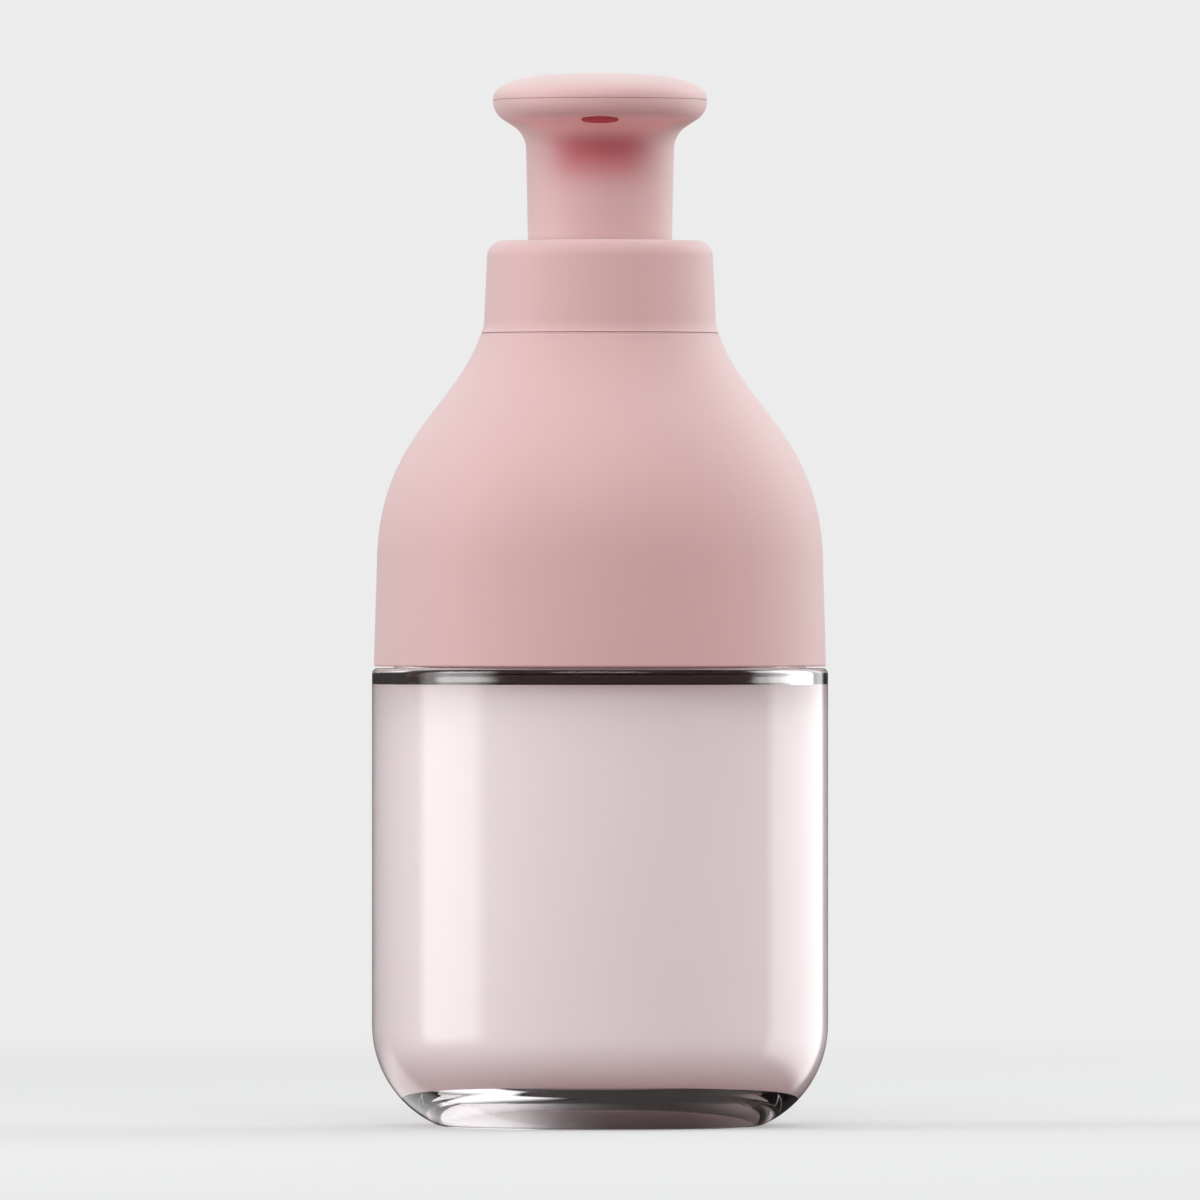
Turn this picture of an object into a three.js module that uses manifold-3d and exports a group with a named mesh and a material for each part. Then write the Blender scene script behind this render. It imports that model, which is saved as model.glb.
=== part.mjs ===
// A pump bottle of body wash. A thick clear vessel has a wide threaded mouth. A matte
// bell-shaped shoulder screws on it, and a lotion pump screws on the shoulder's neck.
// Millimetres, +Z up, base on z = 0, spout towards -Y.
import * as THREE from "three";
import { mergeVertices } from "three/addons/utils/BufferGeometryUtils.js";
import Module from "manifold-3d";

const wasm = await Module();
wasm.setup();

// Facets round a large shell, round a slim inner piece, and of a valve ball
const SHELL_SIDES = 36;
const CORE_SIDES = 24;
const BALL_SIDES = 16;
const BALL_RINGS = 10;

// Steps along a curve
const EDGE_STEPS = 2; // a small rounded edge
const CORNER_STEPS = 4; // a rounded corner or a hidden arc
const BASE_STEPS = 6; // the outer corner of the base
const BELL_STEPS = 9; // the shoulder's outside
const BELL_INNER_STEPS = 6;
const DOME_STEPS = 8; // the head's outside
const DOME_INNER_STEPS = 5;
const COIL_STEPS = 9; // one turn of the spring
const WIRE_SIDES = 6;

const WELD = 1e-4; // points closer than this are one point

// Clearances
const SEAM = 0.3; // open line between two outer covers
const SEAT = 0.1; // between two faces that seat on each other
const SLIP = 0.25; // radial, round a piece that slides or turns in another
const BALL_FIT = 0.1; // between a valve ball and its seat or stop
const EDGE = 0.4; // chamfer of a hidden edge

// Vessel
const VESSEL_RADIUS = 37.5;
const VESSEL_HEIGHT = 75.3; // base to the ledge under the shoulder
const VESSEL_FLOOR = 6;
const BASE_CORNER = 18; // radius of the outer base corner
const BASE_LEAN = 64; // degrees from upright at which that corner comes down to the foot
const FLOOR_CORNER = 9; // radius of the corner inside
const LEDGE_FILLET = 0.9;
const FOOT_INSET = 11.1; // foot set in from the vessel's side
const FOOT_EDGE = 4; // radius of the foot's edge
const FOOT_WIDTH = 5.4; // flat ring that the bottle stands on
const FOOT_DISH = 0.6; // height of the dish inside that ring
const MOUTH_HEIGHT = 10.5; // threaded mouth above the ledge
const MOUTH_WALL = 1.8;

// Threads: the wide one of the mouth and the one of the pump neck
const THREAD_BASE = 2; // axial width of a ridge at its root
const THREAD_CREST = 0.9; // axial width at its crest
const THREAD_SINK = 0.5; // how far a ridge is let into its wall
const THREAD_FADE = 0.12; // turns over which a ridge rises at its ends
const THREAD_LAG = 0.4; // turns by which the outer piece's ridge starts later
const THREAD_MESH = 0.5; // turns from a ridge to the middle of its groove
const WIDE_PITCH = 4.2;
const WIDE_DEPTH = 1.1;
const WIDE_TURNS = 1.1;
const NECK_PITCH = 4.2;
const NECK_DEPTH = 1.15;
const NECK_TURNS = 1.1;
const THREAD_GAP = 0.35; // radial, from a crest to the opposite root

// Seal in the mouth of the vessel
const SEAL_HEIGHT = 2.3;
const SEAL_SECTION = 1.9; // radial thickness
const SEAL_DROP = 0.3; // top of the seal below the ledge
const PLUG_WALL = 1.6;
const PLUG_LIP = 0.6; // height of the lip that holds the seal
const PLUG_LIP_GAP = 0.5; // lip to the vessel bore
const PLUG_FLANGE = 1.2;
const FLANGE_GAP = 0.6; // flange rim to the shoulder skirt
const FILL_GAP = 0.4; // contents to whatever hangs above them

// Shoulder
const SHOULDER_HEIGHT = 54.5; // skirt foot to the collar seam
const SHOULDER_WALL = 2.2;
const SKIRT_STEP = 0.3; // skirt set in from the vessel's side
const SKIRT_WALL = 2;
const BELT_HEIGHT = 16.4; // straight part of the skirt
const BELT_DRAFT = 0.5; // how much it tapers
const BELT_SWEEP = 21.2; // pull of the bell curve at its foot
const CREST_SWEEP = 13; // pull of the bell curve at the collar
const CREST_ANGLE = 19; // degrees from upright at the collar
const LAND_WIDTH = 2.2; // rib that presses the plug down
const LAND_HEIGHT = 1.5;
const NECK_SHELF = 2.5; // thickness under the collar
const NECK_HEIGHT = 10.6;
const NECK_WALL = 1.4;

// Closure, collar and the stack between neck and collar top
const GASKET_HEIGHT = 1;
const GASKET_OVERHANG = 0.75; // beyond the neck wall
const FLANGE_HEIGHT = 1.2;
const CLOSURE_PLATE = 1;
const CLOSURE_WALL = 0.85;
const CLOSURE_LIFT = 0.8; // closure foot above the collar foot
const COLLAR_PLATE = 1.3;
const COLLAR_WALL = 1.15;
const COLLAR_CORNER = 2.6;
const COLLAR_DRAFT = 0.6; // how much the collar widens downwards
const COLLAR_FLARE = 0.6; // extra flare at its foot
const COLLAR_FLARE_HEIGHT = 1.8;

// Pump
const STROKE = 13;
const PRESSED_GAP = 2; // head flare to collar when pressed
const STEM_COVER_RADIUS = 12.2; // head's round stem where the flare starts
const STEM_COVER_TAPER = 0.4; // narrower at its foot by this
const STEM_COVER_BORE = 10;
const STEM_COVER_DIP = 2.8; // reach into the collar at rest
const WELL_WALL = 0.75;
const WELL_FLOOR = 1.2;
const WELL_REST = 0.5; // stem cover to the well floor when pressed
const CYLINDER_BORE = 7.1;
const CYLINDER_WALL = 1.1;
const CYLINDER_REST = 0.8; // stem foot to the cylinder bottom when pressed
const CONE_HEIGHT = 3;
const PISTON_HEIGHT = 5.6;
const PISTON_LIP = 1.2; // height of each sealing lip
const PISTON_WAIST = 1.1; // how far it is waisted between the lips
const STEM_WALL = 0.75;
const STEM_BORE = 1.3;
const STEM_STEP = 1.2; // thickness of each stem flange
const STEM_FLANGE = 1.5; // radial, beyond the stem
const CHAPLET_PLUG = 2.9; // depth in the cylinder
const CHAPLET_FLANGE = 1.2;
const CHAPLET_STOP = 0.3; // chaplet to the stem flange at rest
const GUIDE_WALL = 1.5;
const GUIDE_REST = 0.5; // guide to the duct hub when pressed
const SPRING_WIRE = 1.1;
const SPRING_TURNS = 7.5;
const SPRING_CLOSING = 0.5; // how much closer the end coils lie
const SPRING_SEAT = 0.2; // wire to each of the faces that it pushes on
const SPRING_PROBES = 400; // points that measure the gap between its coils
const SAME_COIL = 0.6; // turns within which two points lie on the same coil

// Valves and dip tube
const INLET_BALL = 2.4; // radius
const INLET_LIFT = 1;
const INLET_PORT = 1.5; // radius of the hole under the ball
const INLET_PORT_LENGTH = 1.5;
const INLET_ROOM = 0.8; // radial, round the ball
const CAGE_HEIGHT = 1.6;
const CAGE_WALL = 1.1;
const STOP_BAR = 0.9; // width of the bar that stops a ball
const STOP_BAR_DROP = 0.6; // the bar hangs below its ring
const OUTLET_BALL = 2; // radius
const OUTLET_LIFT = 1;
const OUTLET_ROOM = 0.45;
const TUBE_RADIUS = 3.15;
const TUBE_WALL = 0.95;
const TUBE_SOCKET = 9.5;
const TUBE_REST = 1.6; // foot above the vessel floor
const TUBE_CUT = 45; // degrees, slant of the foot
const TUBE_WEDGE = 8; // size of the wedge that cuts it, in tube radii
const TAIL_WALL = 1.2;

// Head
const HEAD_RADIUS = 17.6;
const HEAD_WALL = 1.5;
const SPOUT_REACH = 6; // front of the brim beyond its sides
const SIDE_FILLET = 4.6; // stem to flare
const SIDE_ROLL = 3.6; // flare to brim
const SIDE_TURN = 57; // degrees that the flare leans out
const FRONT_FILLET = 4;
const FRONT_ROLL = 3;
const FRONT_TURN = 82;
const DOME_HEIGHT = 4.4;
const DOME_WALL = 1.4;
const DOME_POWER = 2.6; // exponent of the dome's rounded outline
const TONGUE_WALL = 0.8;
const TONGUE_HEIGHT = 0.6;
const TONGUE_GAP = 0.4; // tongue to the rim of the shell
const NOZZLE_RADIUS = 2.7;
const NOZZLE_RECESS = 0.9; // duct end above the mouth of the nozzle
const PLATE_HEIGHT = 1.4; // plate that the spring pushes on
const PLATE_DROP = 0.6; // plate below the start of the flare
const HUB_LENGTH = 9.8;
const HUB_WALL = 1.3;
const DUCT_WALL = 0.55;
const DUCT_GAP = 0.4; // duct to the skins of the head
const DUCT_BORE = 1.5; // radius of the upright bores
const RISER_RADIUS = 3.6;

// Radii that follow, from the vessel's side inwards
const skirtRadius = VESSEL_RADIUS - SKIRT_STEP;
const wideRoot = skirtRadius - SKIRT_WALL;
const mouthRadius = wideRoot - THREAD_GAP - WIDE_DEPTH;
const vesselBore = mouthRadius - MOUTH_WALL;
const sealRadius = vesselBore - SEAT;
const sealBore = sealRadius - SEAL_SECTION;
const plugRadius = sealBore - SEAT;
const plugBore = plugRadius - PLUG_WALL;

// Radii that follow, from the head's stem outwards
const collarHole = STEM_COVER_RADIUS + SLIP;
const wellRadius = collarHole + WELL_WALL;
const neckBore = wellRadius + SLIP;
const neckRadius = neckBore + NECK_WALL;
const closureRoot = neckRadius + NECK_DEPTH + THREAD_GAP;
const closureRadius = closureRoot + CLOSURE_WALL;
const collarBore = closureRadius + SEAT;
const collarRadius = collarBore + COLLAR_WALL;
const collarFoot = collarRadius + COLLAR_DRAFT;
const shoulderCrest = collarFoot + COLLAR_FLARE;

// Radii that follow, from the valve balls outwards
const outletRoom = OUTLET_BALL + OUTLET_ROOM;
const stemRadius = outletRoom + STEM_WALL;
const hubBore = stemRadius + SEAT;
const guideBore = stemRadius + SLIP;
const guideRadius = guideBore + GUIDE_WALL;
const inletRoom = INLET_BALL + INLET_ROOM;
const tubeSocket = TUBE_RADIUS + SEAT;
const tailRadius = Math.max(inletRoom, tubeSocket) + TAIL_WALL;
const chapletRadius = STEM_COVER_BORE - SLIP;
const springRadius = (guideRadius + STEM_COVER_BORE) / 2;

// Levels that follow, from the base up to the collar
const mouthTop = VESSEL_HEIGHT + MOUTH_HEIGHT;
const skirtFoot = VESSEL_HEIGHT + SEAM;
const landLevel = mouthTop + PLUG_FLANGE + 2 * SEAT;
const beltLevel = skirtFoot + BELT_HEIGHT;
const neckFoot = skirtFoot + SHOULDER_HEIGHT;
const neckTop = neckFoot + NECK_HEIGHT;
const gasketLevel = neckTop + SEAT;
const flangeLevel = gasketLevel + GASKET_HEIGHT + SEAT;
const closureLevel = flangeLevel + FLANGE_HEIGHT + SEAT;
const collarLevel = closureLevel + CLOSURE_PLATE + SEAT;
const collarTop = collarLevel + COLLAR_PLATE;

// Levels of the pump, from the collar down and up
const flareLevel = collarTop + STROKE + PRESSED_GAP;
const plateLevel = flareLevel - PLATE_DROP;
const hubFoot = plateLevel - HUB_LENGTH;
const stemCoverFoot = collarTop - STEM_COVER_DIP;
const wellLevel = stemCoverFoot - STROKE - WELL_REST;
const chapletFoot = wellLevel - CHAPLET_PLUG;
const chapletTop = wellLevel + SEAT + CHAPLET_FLANGE;
const guideTop = hubFoot - STROKE - GUIDE_REST;
const upperFlange = chapletFoot - CHAPLET_STOP - STEM_STEP;
const pistonFoot = upperFlange - SEAT - PISTON_HEIGHT;
const stemFoot = pistonFoot - SEAT - STEM_STEP;
const cylinderFoot = stemFoot - STROKE - CYLINDER_REST;
const chamberTop = cylinderFoot - CONE_HEIGHT;
const cageFoot = chamberTop - CAGE_HEIGHT;
const inletCentre = cageFoot - BALL_FIT - INLET_LIFT - INLET_BALL;

// A ball rests on a 45 degree cone: the cone's point lies this far below its centre
const SEAT_FACTOR = Math.SQRT2;
const inletApex = inletCentre - SEAT_FACTOR * (INLET_BALL + BALL_FIT);
const portTop = inletApex + INLET_PORT;
const socketTop = portTop - INLET_PORT_LENGTH;
const tailFoot = socketTop - TUBE_SOCKET;
const tubeFoot = VESSEL_FLOOR + TUBE_REST;
const stemTop = plateLevel;
const outletCentre = stemTop - OUTLET_LIFT - OUTLET_BALL;
const outletApex = outletCentre - SEAT_FACTOR * (OUTLET_BALL + BALL_FIT);

// Levels of the mouth seal and of the contents
const sealTop = VESSEL_HEIGHT - SEAL_DROP;
const sealFoot = sealTop - SEAL_HEIGHT;
const lipTop = sealFoot - SEAT;
const lipFoot = lipTop - PLUG_LIP;
const fillLevel = Math.min(lipFoot, tailFoot) - FILL_GAP;

// The flare under the brim: a hollow fillet, a straight and a roll, all leaning by `turn`
const radians = THREE.MathUtils.degToRad;
function flareShape(reach, fillet, roll, turn) {
  const lean = radians(turn);
  const straight = (reach - (fillet + roll) * (1 - Math.cos(lean))) / Math.sin(lean);
  const height = (fillet + roll) * Math.sin(lean) + straight * Math.cos(lean);
  return { lean, straight, height, fillet, roll };
}
const brimReach = HEAD_RADIUS - STEM_COVER_RADIUS;
const sideFlare = flareShape(brimReach, SIDE_FILLET, SIDE_ROLL, SIDE_TURN);
const frontFlare = flareShape(brimReach + SPOUT_REACH, FRONT_FILLET, FRONT_ROLL, FRONT_TURN);
const headSeam = flareLevel + sideFlare.height;

// The nozzle lies in the middle of the straight under the spout
const nozzleReach =
  STEM_COVER_RADIUS +
  FRONT_FILLET * (1 - Math.cos(frontFlare.lean)) +
  (frontFlare.straight / 2) * Math.sin(frontFlare.lean);
const nozzleLevel =
  headSeam -
  FRONT_ROLL * Math.sin(frontFlare.lean) -
  (frontFlare.straight / 2) * Math.cos(frontFlare.lean);

// Points on an arc about [r, z], from one angle to another in degrees
function arc(r, z, radius, from, to, steps) {
  const points = [];
  for (let i = 0; i <= steps; i += 1) {
    const angle = radians(from + ((to - from) * i) / steps);
    points.push([r + radius * Math.cos(angle), z + radius * Math.sin(angle)]);
  }
  return points;
}

// Bell curve from a crest that leans out down to an upright foot
function bell(crest, foot, steps) {
  const lean = radians(CREST_ANGLE);
  const curve = new THREE.CubicBezierCurve(
    new THREE.Vector2(crest[0], crest[1]),
    new THREE.Vector2(
      crest[0] + CREST_SWEEP * Math.sin(lean), crest[1] - CREST_SWEEP * Math.cos(lean),
    ),
    new THREE.Vector2(foot[0], foot[1] + BELT_SWEEP),
    new THREE.Vector2(foot[0], foot[1]),
  );
  return curve.getPoints(steps).map((point) => [point.x, point.y]);
}

// Solid of revolution about Z. An outline runs up its outer side, and one that does not
// start on the axis closes on itself.
function latheOf(outline, sides) {
  const closed = outline[0][0] > 0 ? [...outline, outline[0]] : outline;
  return new THREE.LatheGeometry(closed.map(([r, z]) => new THREE.Vector2(r, z)), sides);
}
function revolve(outline, sides = SHELL_SIDES) {
  return latheOf(outline, sides).rotateX(Math.PI / 2);
}

// Like revolve, but the outline changes from `side` to `front` towards the spout
function revolveSpouted(side, front) {
  const geometry = latheOf(side, SHELL_SIDES);
  const place = geometry.attributes.position;
  const rows = place.count / (SHELL_SIDES + 1);
  for (let i = 0; i < place.count; i += 1) {
    const azimuth = (2 * Math.PI * Math.floor(i / rows)) / SHELL_SIDES;
    const share = Math.max(0, Math.cos(azimuth)) ** 2;
    const row = (i % rows) % side.length;
    const r = THREE.MathUtils.lerp(side[row][0], front[row][0], share);
    const z = THREE.MathUtils.lerp(side[row][1], front[row][1], share);
    place.setXYZ(i, r * Math.sin(azimuth), -r * Math.cos(azimuth), z);
  }
  return geometry;
}

// A thread ridge: a straight bar of trapezoid section wound up a helix. It rises out of
// its wall at both ends. `facing` is 1 on an outer wall and -1 on an inner one.
function threadRidge(root, depth, pitch, turns, level, firstTurn, facing) {
  const section = new THREE.Shape([
    new THREE.Vector2(0, -THREAD_BASE / 2),
    new THREE.Vector2(1, -THREAD_CREST / 2),
    new THREE.Vector2(1, THREAD_CREST / 2),
    new THREE.Vector2(0, THREAD_BASE / 2),
  ]);
  const steps = Math.round(turns * SHELL_SIDES);
  const strip = new THREE.ExtrudeGeometry(section, { depth: turns, steps, bevelEnabled: false });
  const place = strip.attributes.position;
  for (let i = 0; i < place.count; i += 1) {
    const turn = place.getZ(i);
    const rise = Math.min(1, turn / THREAD_FADE, (turns - turn) / THREAD_FADE);
    const crest = THREE.MathUtils.lerp(-THREAD_SINK / 2, depth, Math.max(0, rise));
    const r = root + facing * (place.getX(i) > 0.5 ? crest : -THREAD_SINK);
    const angle = 2 * Math.PI * (firstTurn + turn);
    const z = level + pitch * turn - facing * place.getY(i);
    place.setXYZ(i, r * Math.sin(angle), -r * Math.cos(angle), z);
  }
  return strip;
}

// Closed geometry to a boolean solid and back
function solid(geometry) {
  const bare = new THREE.BufferGeometry();
  bare.setAttribute("position", geometry.attributes.position);
  bare.setIndex(geometry.index);
  const merged = mergeVertices(bare, WELD);
  const corners = merged.index.array;
  const faces = [];
  for (let i = 0; i < corners.length; i += 3) {
    const [a, b, c] = corners.slice(i, i + 3);
    if (a !== b && b !== c && c !== a) {
      faces.push(a, b, c);
    }
  }
  return new wasm.Manifold(
    new wasm.Mesh({
      numProp: 3,
      vertProperties: new Float32Array(merged.attributes.position.array),
      triVerts: new Uint32Array(faces),
    }),
  );
}
function geometryOf(body) {
  const mesh = body.getMesh();
  const geometry = new THREE.BufferGeometry();
  geometry.setAttribute("position", new THREE.BufferAttribute(mesh.vertProperties, 3));
  geometry.setIndex(new THREE.BufferAttribute(mesh.triVerts, 1));
  geometry.computeVertexNormals();
  return geometry;
}
function unite(first, ...others) {
  return geometryOf(others.reduce((body, other) => body.add(solid(other)), solid(first)));
}
function cut(first, ...others) {
  return geometryOf(others.reduce((body, other) => body.subtract(solid(other)), solid(first)));
}

// An upright round bar and an upright box between two levels
function bar(radius, from, to, y = 0) {
  const geometry = new THREE.CylinderGeometry(radius, radius, to - from, CORE_SIDES);
  return geometry.rotateX(Math.PI / 2).translate(0, y, (from + to) / 2);
}
function block(width, yFrom, yTo, from, to) {
  const geometry = new THREE.BoxGeometry(width, yTo - yFrom, to - from);
  return geometry.translate(0, (yFrom + yTo) / 2, (from + to) / 2);
}

// Where the middle of a ridge starts, so that the ridge lies midway up its wall
const wideLevel = VESSEL_HEIGHT + (MOUTH_HEIGHT - WIDE_PITCH * WIDE_TURNS) / 2;
const neckLevel = neckFoot + (NECK_HEIGHT - NECK_PITCH * NECK_TURNS) / 2;
const lagRise = THREAD_LAG - THREAD_MESH; // turns that the mating ridge lies above the start

// The dish under the vessel is a parabola: it falls with the square of the radius
function dishOutline(radius) {
  const points = [];
  for (let i = 0; i <= CORNER_STEPS; i += 1) {
    const share = i / CORNER_STEPS;
    points.push([radius * share, FOOT_DISH * (1 - share ** 2)]);
  }
  return points;
}

// The outer corner of the base is an arc between the side and a lean line to the foot. A
// second arc rounds the foot's edge.
function vesselShape() {
  const foot = VESSEL_RADIUS - FOOT_INSET;
  const lean = radians(BASE_LEAN);
  const turn = 90 - BASE_LEAN;
  const edge = foot - FOOT_EDGE * Math.tan(radians(turn) / 2);
  const bend = FOOT_INSET / Math.tan(lean) + BASE_CORNER * Math.tan(lean / 2);
  const ledge = VESSEL_HEIGHT - LEDGE_FILLET;
  const floorCorner = arc(
    vesselBore - FLOOR_CORNER, VESSEL_FLOOR + FLOOR_CORNER, FLOOR_CORNER, 0, -90, CORNER_STEPS,
  );
  const body = revolve([
    ...dishOutline(foot - FOOT_WIDTH),
    ...arc(edge, FOOT_EDGE, FOOT_EDGE, -90, turn - 90, EDGE_STEPS),
    ...arc(VESSEL_RADIUS - BASE_CORNER, bend, BASE_CORNER, -BASE_LEAN, 0, BASE_STEPS),
    ...arc(VESSEL_RADIUS - LEDGE_FILLET, ledge, LEDGE_FILLET, 0, 90, EDGE_STEPS),
    [mouthRadius, VESSEL_HEIGHT],
    [mouthRadius, mouthTop - EDGE],
    [mouthRadius - EDGE, mouthTop],
    [vesselBore + EDGE, mouthTop],
    [vesselBore, mouthTop - EDGE],
    ...floorCorner,
    [0, VESSEL_FLOOR],
  ]);
  const ridge = threadRidge(mouthRadius, WIDE_DEPTH, WIDE_PITCH, WIDE_TURNS, wideLevel, 0, 1);
  return unite(body, ridge);
}

// The contents stand on the vessel floor and leave a bore for the dip tube
function contentsShape() {
  const corner = FLOOR_CORNER - SEAT;
  const tubeRoom = TUBE_RADIUS + SLIP;
  return revolve([
    [0, 0],
    ...arc(vesselBore - FLOOR_CORNER, corner, corner, -90, 0, CORNER_STEPS),
    [vesselBore - SEAT, fillLevel - VESSEL_FLOOR - SEAT],
    [tubeRoom, fillLevel - VESSEL_FLOOR - SEAT],
    [tubeRoom, TUBE_REST - 2 * SEAT],
    [0, TUBE_REST - 2 * SEAT],
  ]);
}

function plugShape() {
  const lipRadius = vesselBore - PLUG_LIP_GAP;
  const flangeFoot = mouthTop + SEAT;
  return revolve([
    [plugBore, lipFoot],
    [lipRadius, lipFoot],
    [lipRadius, lipTop],
    [plugRadius, lipTop],
    [plugRadius, sealTop + SEAT],
    [lipRadius, sealTop + SEAT],
    [lipRadius, sealTop + SEAT + PLUG_LIP],
    [plugRadius, sealTop + SEAT + PLUG_LIP],
    [plugRadius, flangeFoot],
    [wideRoot - FLANGE_GAP, flangeFoot],
    [wideRoot - FLANGE_GAP, flangeFoot + PLUG_FLANGE],
    [plugBore, flangeFoot + PLUG_FLANGE],
  ]);
}

// The seal is a ring whose outer corners are cut off
function sealShape() {
  return revolve([
    [sealBore, 0],
    [sealRadius - EDGE, 0],
    [sealRadius, EDGE],
    [sealRadius, SEAL_HEIGHT - EDGE],
    [sealRadius - EDGE, SEAL_HEIGHT],
    [sealBore, SEAL_HEIGHT],
  ]);
}

function shoulderShape() {
  const beltRadius = skirtRadius - BELT_DRAFT;
  const outside = bell([shoulderCrest, neckFoot], [beltRadius, beltLevel], BELL_STEPS);
  const inside = bell(
    [shoulderCrest - SHOULDER_WALL, neckFoot - NECK_SHELF],
    [beltRadius - SHOULDER_WALL, beltLevel],
    BELL_INNER_STEPS,
  );
  const landBore = wideRoot - LAND_WIDTH;
  const body = revolve([
    [wideRoot, skirtFoot],
    [skirtRadius, skirtFoot],
    ...outside.reverse(),
    [neckRadius, neckFoot],
    [neckRadius, neckTop - EDGE],
    [neckRadius - EDGE, neckTop],
    [neckBore, neckTop],
    [neckBore, neckFoot - NECK_SHELF],
    ...inside,
    [landBore, landLevel + LAND_HEIGHT],
    [landBore, landLevel],
    [wideRoot, landLevel],
  ]);
  const mouthRidge = threadRidge(
    wideRoot, WIDE_DEPTH, WIDE_PITCH, WIDE_TURNS - THREAD_FADE,
    wideLevel + WIDE_PITCH * lagRise, THREAD_LAG, -1,
  );
  const neckRidge = threadRidge(neckRadius, NECK_DEPTH, NECK_PITCH, NECK_TURNS, neckLevel, 0, 1);
  return unite(body, mouthRidge, neckRidge);
}

function closureShape() {
  const closureFoot = neckFoot + SEAM + CLOSURE_LIFT;
  const body = revolve([
    [closureRoot, closureFoot],
    [closureRadius, closureFoot],
    [closureRadius, closureLevel + CLOSURE_PLATE],
    [collarHole, closureLevel + CLOSURE_PLATE],
    [collarHole, closureLevel],
    [closureRoot, closureLevel],
  ]);
  const ridge = threadRidge(
    closureRoot, NECK_DEPTH, NECK_PITCH, NECK_TURNS - THREAD_FADE,
    neckLevel + NECK_PITCH * lagRise, THREAD_LAG, -1,
  );
  return unite(body, ridge);
}

// The collar's foot flares in a curve, which halfway up has a quarter of its reach left
function collarShape() {
  const foot = neckFoot + SEAM;
  const cornerCentre = collarRadius - COLLAR_CORNER;
  return revolve([
    [collarBore, foot],
    [shoulderCrest, foot],
    [collarFoot + COLLAR_FLARE / 4, foot + COLLAR_FLARE_HEIGHT / 2],
    [collarFoot, foot + COLLAR_FLARE_HEIGHT],
    ...arc(cornerCentre, collarTop - COLLAR_CORNER, COLLAR_CORNER, 0, 90, CORNER_STEPS),
    [collarHole, collarTop],
    [collarHole, collarLevel],
    [collarBore, collarLevel],
  ]);
}

function gasketShape() {
  const rim = neckRadius + GASKET_OVERHANG;
  return revolve([[neckBore, 0], [rim, 0], [rim, GASKET_HEIGHT], [neckBore, GASKET_HEIGHT]]);
}

// Housing: flange on the neck, well for the stem cover, cylinder, valve room, tube socket
function housingShape() {
  const flangeRadius = neckRadius + GASKET_OVERHANG;
  const cylinderRadius = CYLINDER_BORE + CYLINDER_WALL;
  return revolve([
    [tubeSocket, tailFoot],
    [tailRadius, tailFoot],
    [tailRadius, chamberTop],
    [cylinderRadius, cylinderFoot],
    [cylinderRadius, wellLevel - WELL_FLOOR],
    [wellRadius, wellLevel - WELL_FLOOR],
    [wellRadius, flangeLevel],
    [flangeRadius, flangeLevel],
    [flangeRadius, flangeLevel + FLANGE_HEIGHT],
    [collarHole, flangeLevel + FLANGE_HEIGHT],
    [collarHole, wellLevel],
    [CYLINDER_BORE, wellLevel],
    [CYLINDER_BORE, cylinderFoot],
    [inletRoom, chamberTop],
    [inletRoom, inletApex + inletRoom],
    [INLET_PORT, portTop],
    [INLET_PORT, socketTop],
    [tubeSocket, socketTop],
  ], CORE_SIDES);
}

function chapletShape() {
  const plug = CYLINDER_BORE - SEAT;
  return revolve([
    [guideBore, chapletFoot],
    [plug, chapletFoot],
    [plug, wellLevel + SEAT],
    [chapletRadius, wellLevel + SEAT],
    [chapletRadius, chapletTop],
    [guideRadius, chapletTop],
    [guideRadius, guideTop],
    [guideBore, guideTop],
  ], CORE_SIDES);
}

// The tube's foot is cut on a slant, so that the floor cannot close it
function tubeShape() {
  const length = socketTop - SEAT - tubeFoot;
  const bore = TUBE_RADIUS - TUBE_WALL;
  const outline = [[bore, 0], [TUBE_RADIUS, 0], [TUBE_RADIUS, length], [bore, length]];
  const size = TUBE_WEDGE * TUBE_RADIUS;
  const wedge = new THREE.BoxGeometry(size, size, size).translate(0, 0, -size / 2);
  wedge.rotateX(radians(TUBE_CUT)).translate(0, 0, TUBE_RADIUS / 2);
  return cut(revolve(outline, CORE_SIDES), wedge);
}

function ballShape(radius) {
  return new THREE.SphereGeometry(radius, BALL_SIDES, BALL_RINGS);
}

// A ring with a bar across it; the bar stops the ball and leaves the flow open
function cageShape() {
  const rim = inletRoom - SEAT;
  const bore = rim - CAGE_WALL;
  const ring = revolve([
    [bore, STOP_BAR_DROP],
    [rim, STOP_BAR_DROP],
    [rim, CAGE_HEIGHT],
    [bore, CAGE_HEIGHT],
  ], CORE_SIDES);
  const middle = rim - CAGE_WALL / 2;
  return unite(ring, block(STOP_BAR, -middle, middle, 0, CAGE_HEIGHT - SEAT));
}

// Centre line of the return spring: its coils close up towards both ends
class SpringLine extends THREE.Curve {
  constructor(height) {
    super();
    this.height = height;
  }

  getPoint(share) {
    const angle = 2 * Math.PI * SPRING_TURNS * share;
    const level = share - (SPRING_CLOSING * Math.sin(2 * Math.PI * share)) / (2 * Math.PI);
    return new THREE.Vector3(
      springRadius * Math.cos(angle), springRadius * Math.sin(angle), this.height * level,
    );
  }
}

// Least gap between neighbouring coils, measured on points of the centre line. Points that
// lie less than a good half turn apart belong to the same coil.
function leastCoilGap(line) {
  const points = line.getPoints(SPRING_PROBES);
  const apart = Math.ceil((SAME_COIL * SPRING_PROBES) / SPRING_TURNS);
  let least = Infinity;
  for (let i = 0; i < points.length; i += 1) {
    for (let j = i + apart; j < points.length; j += 1) {
      least = Math.min(least, points[i].distanceTo(points[j]) - SPRING_WIRE);
    }
  }
  return least;
}

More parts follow.
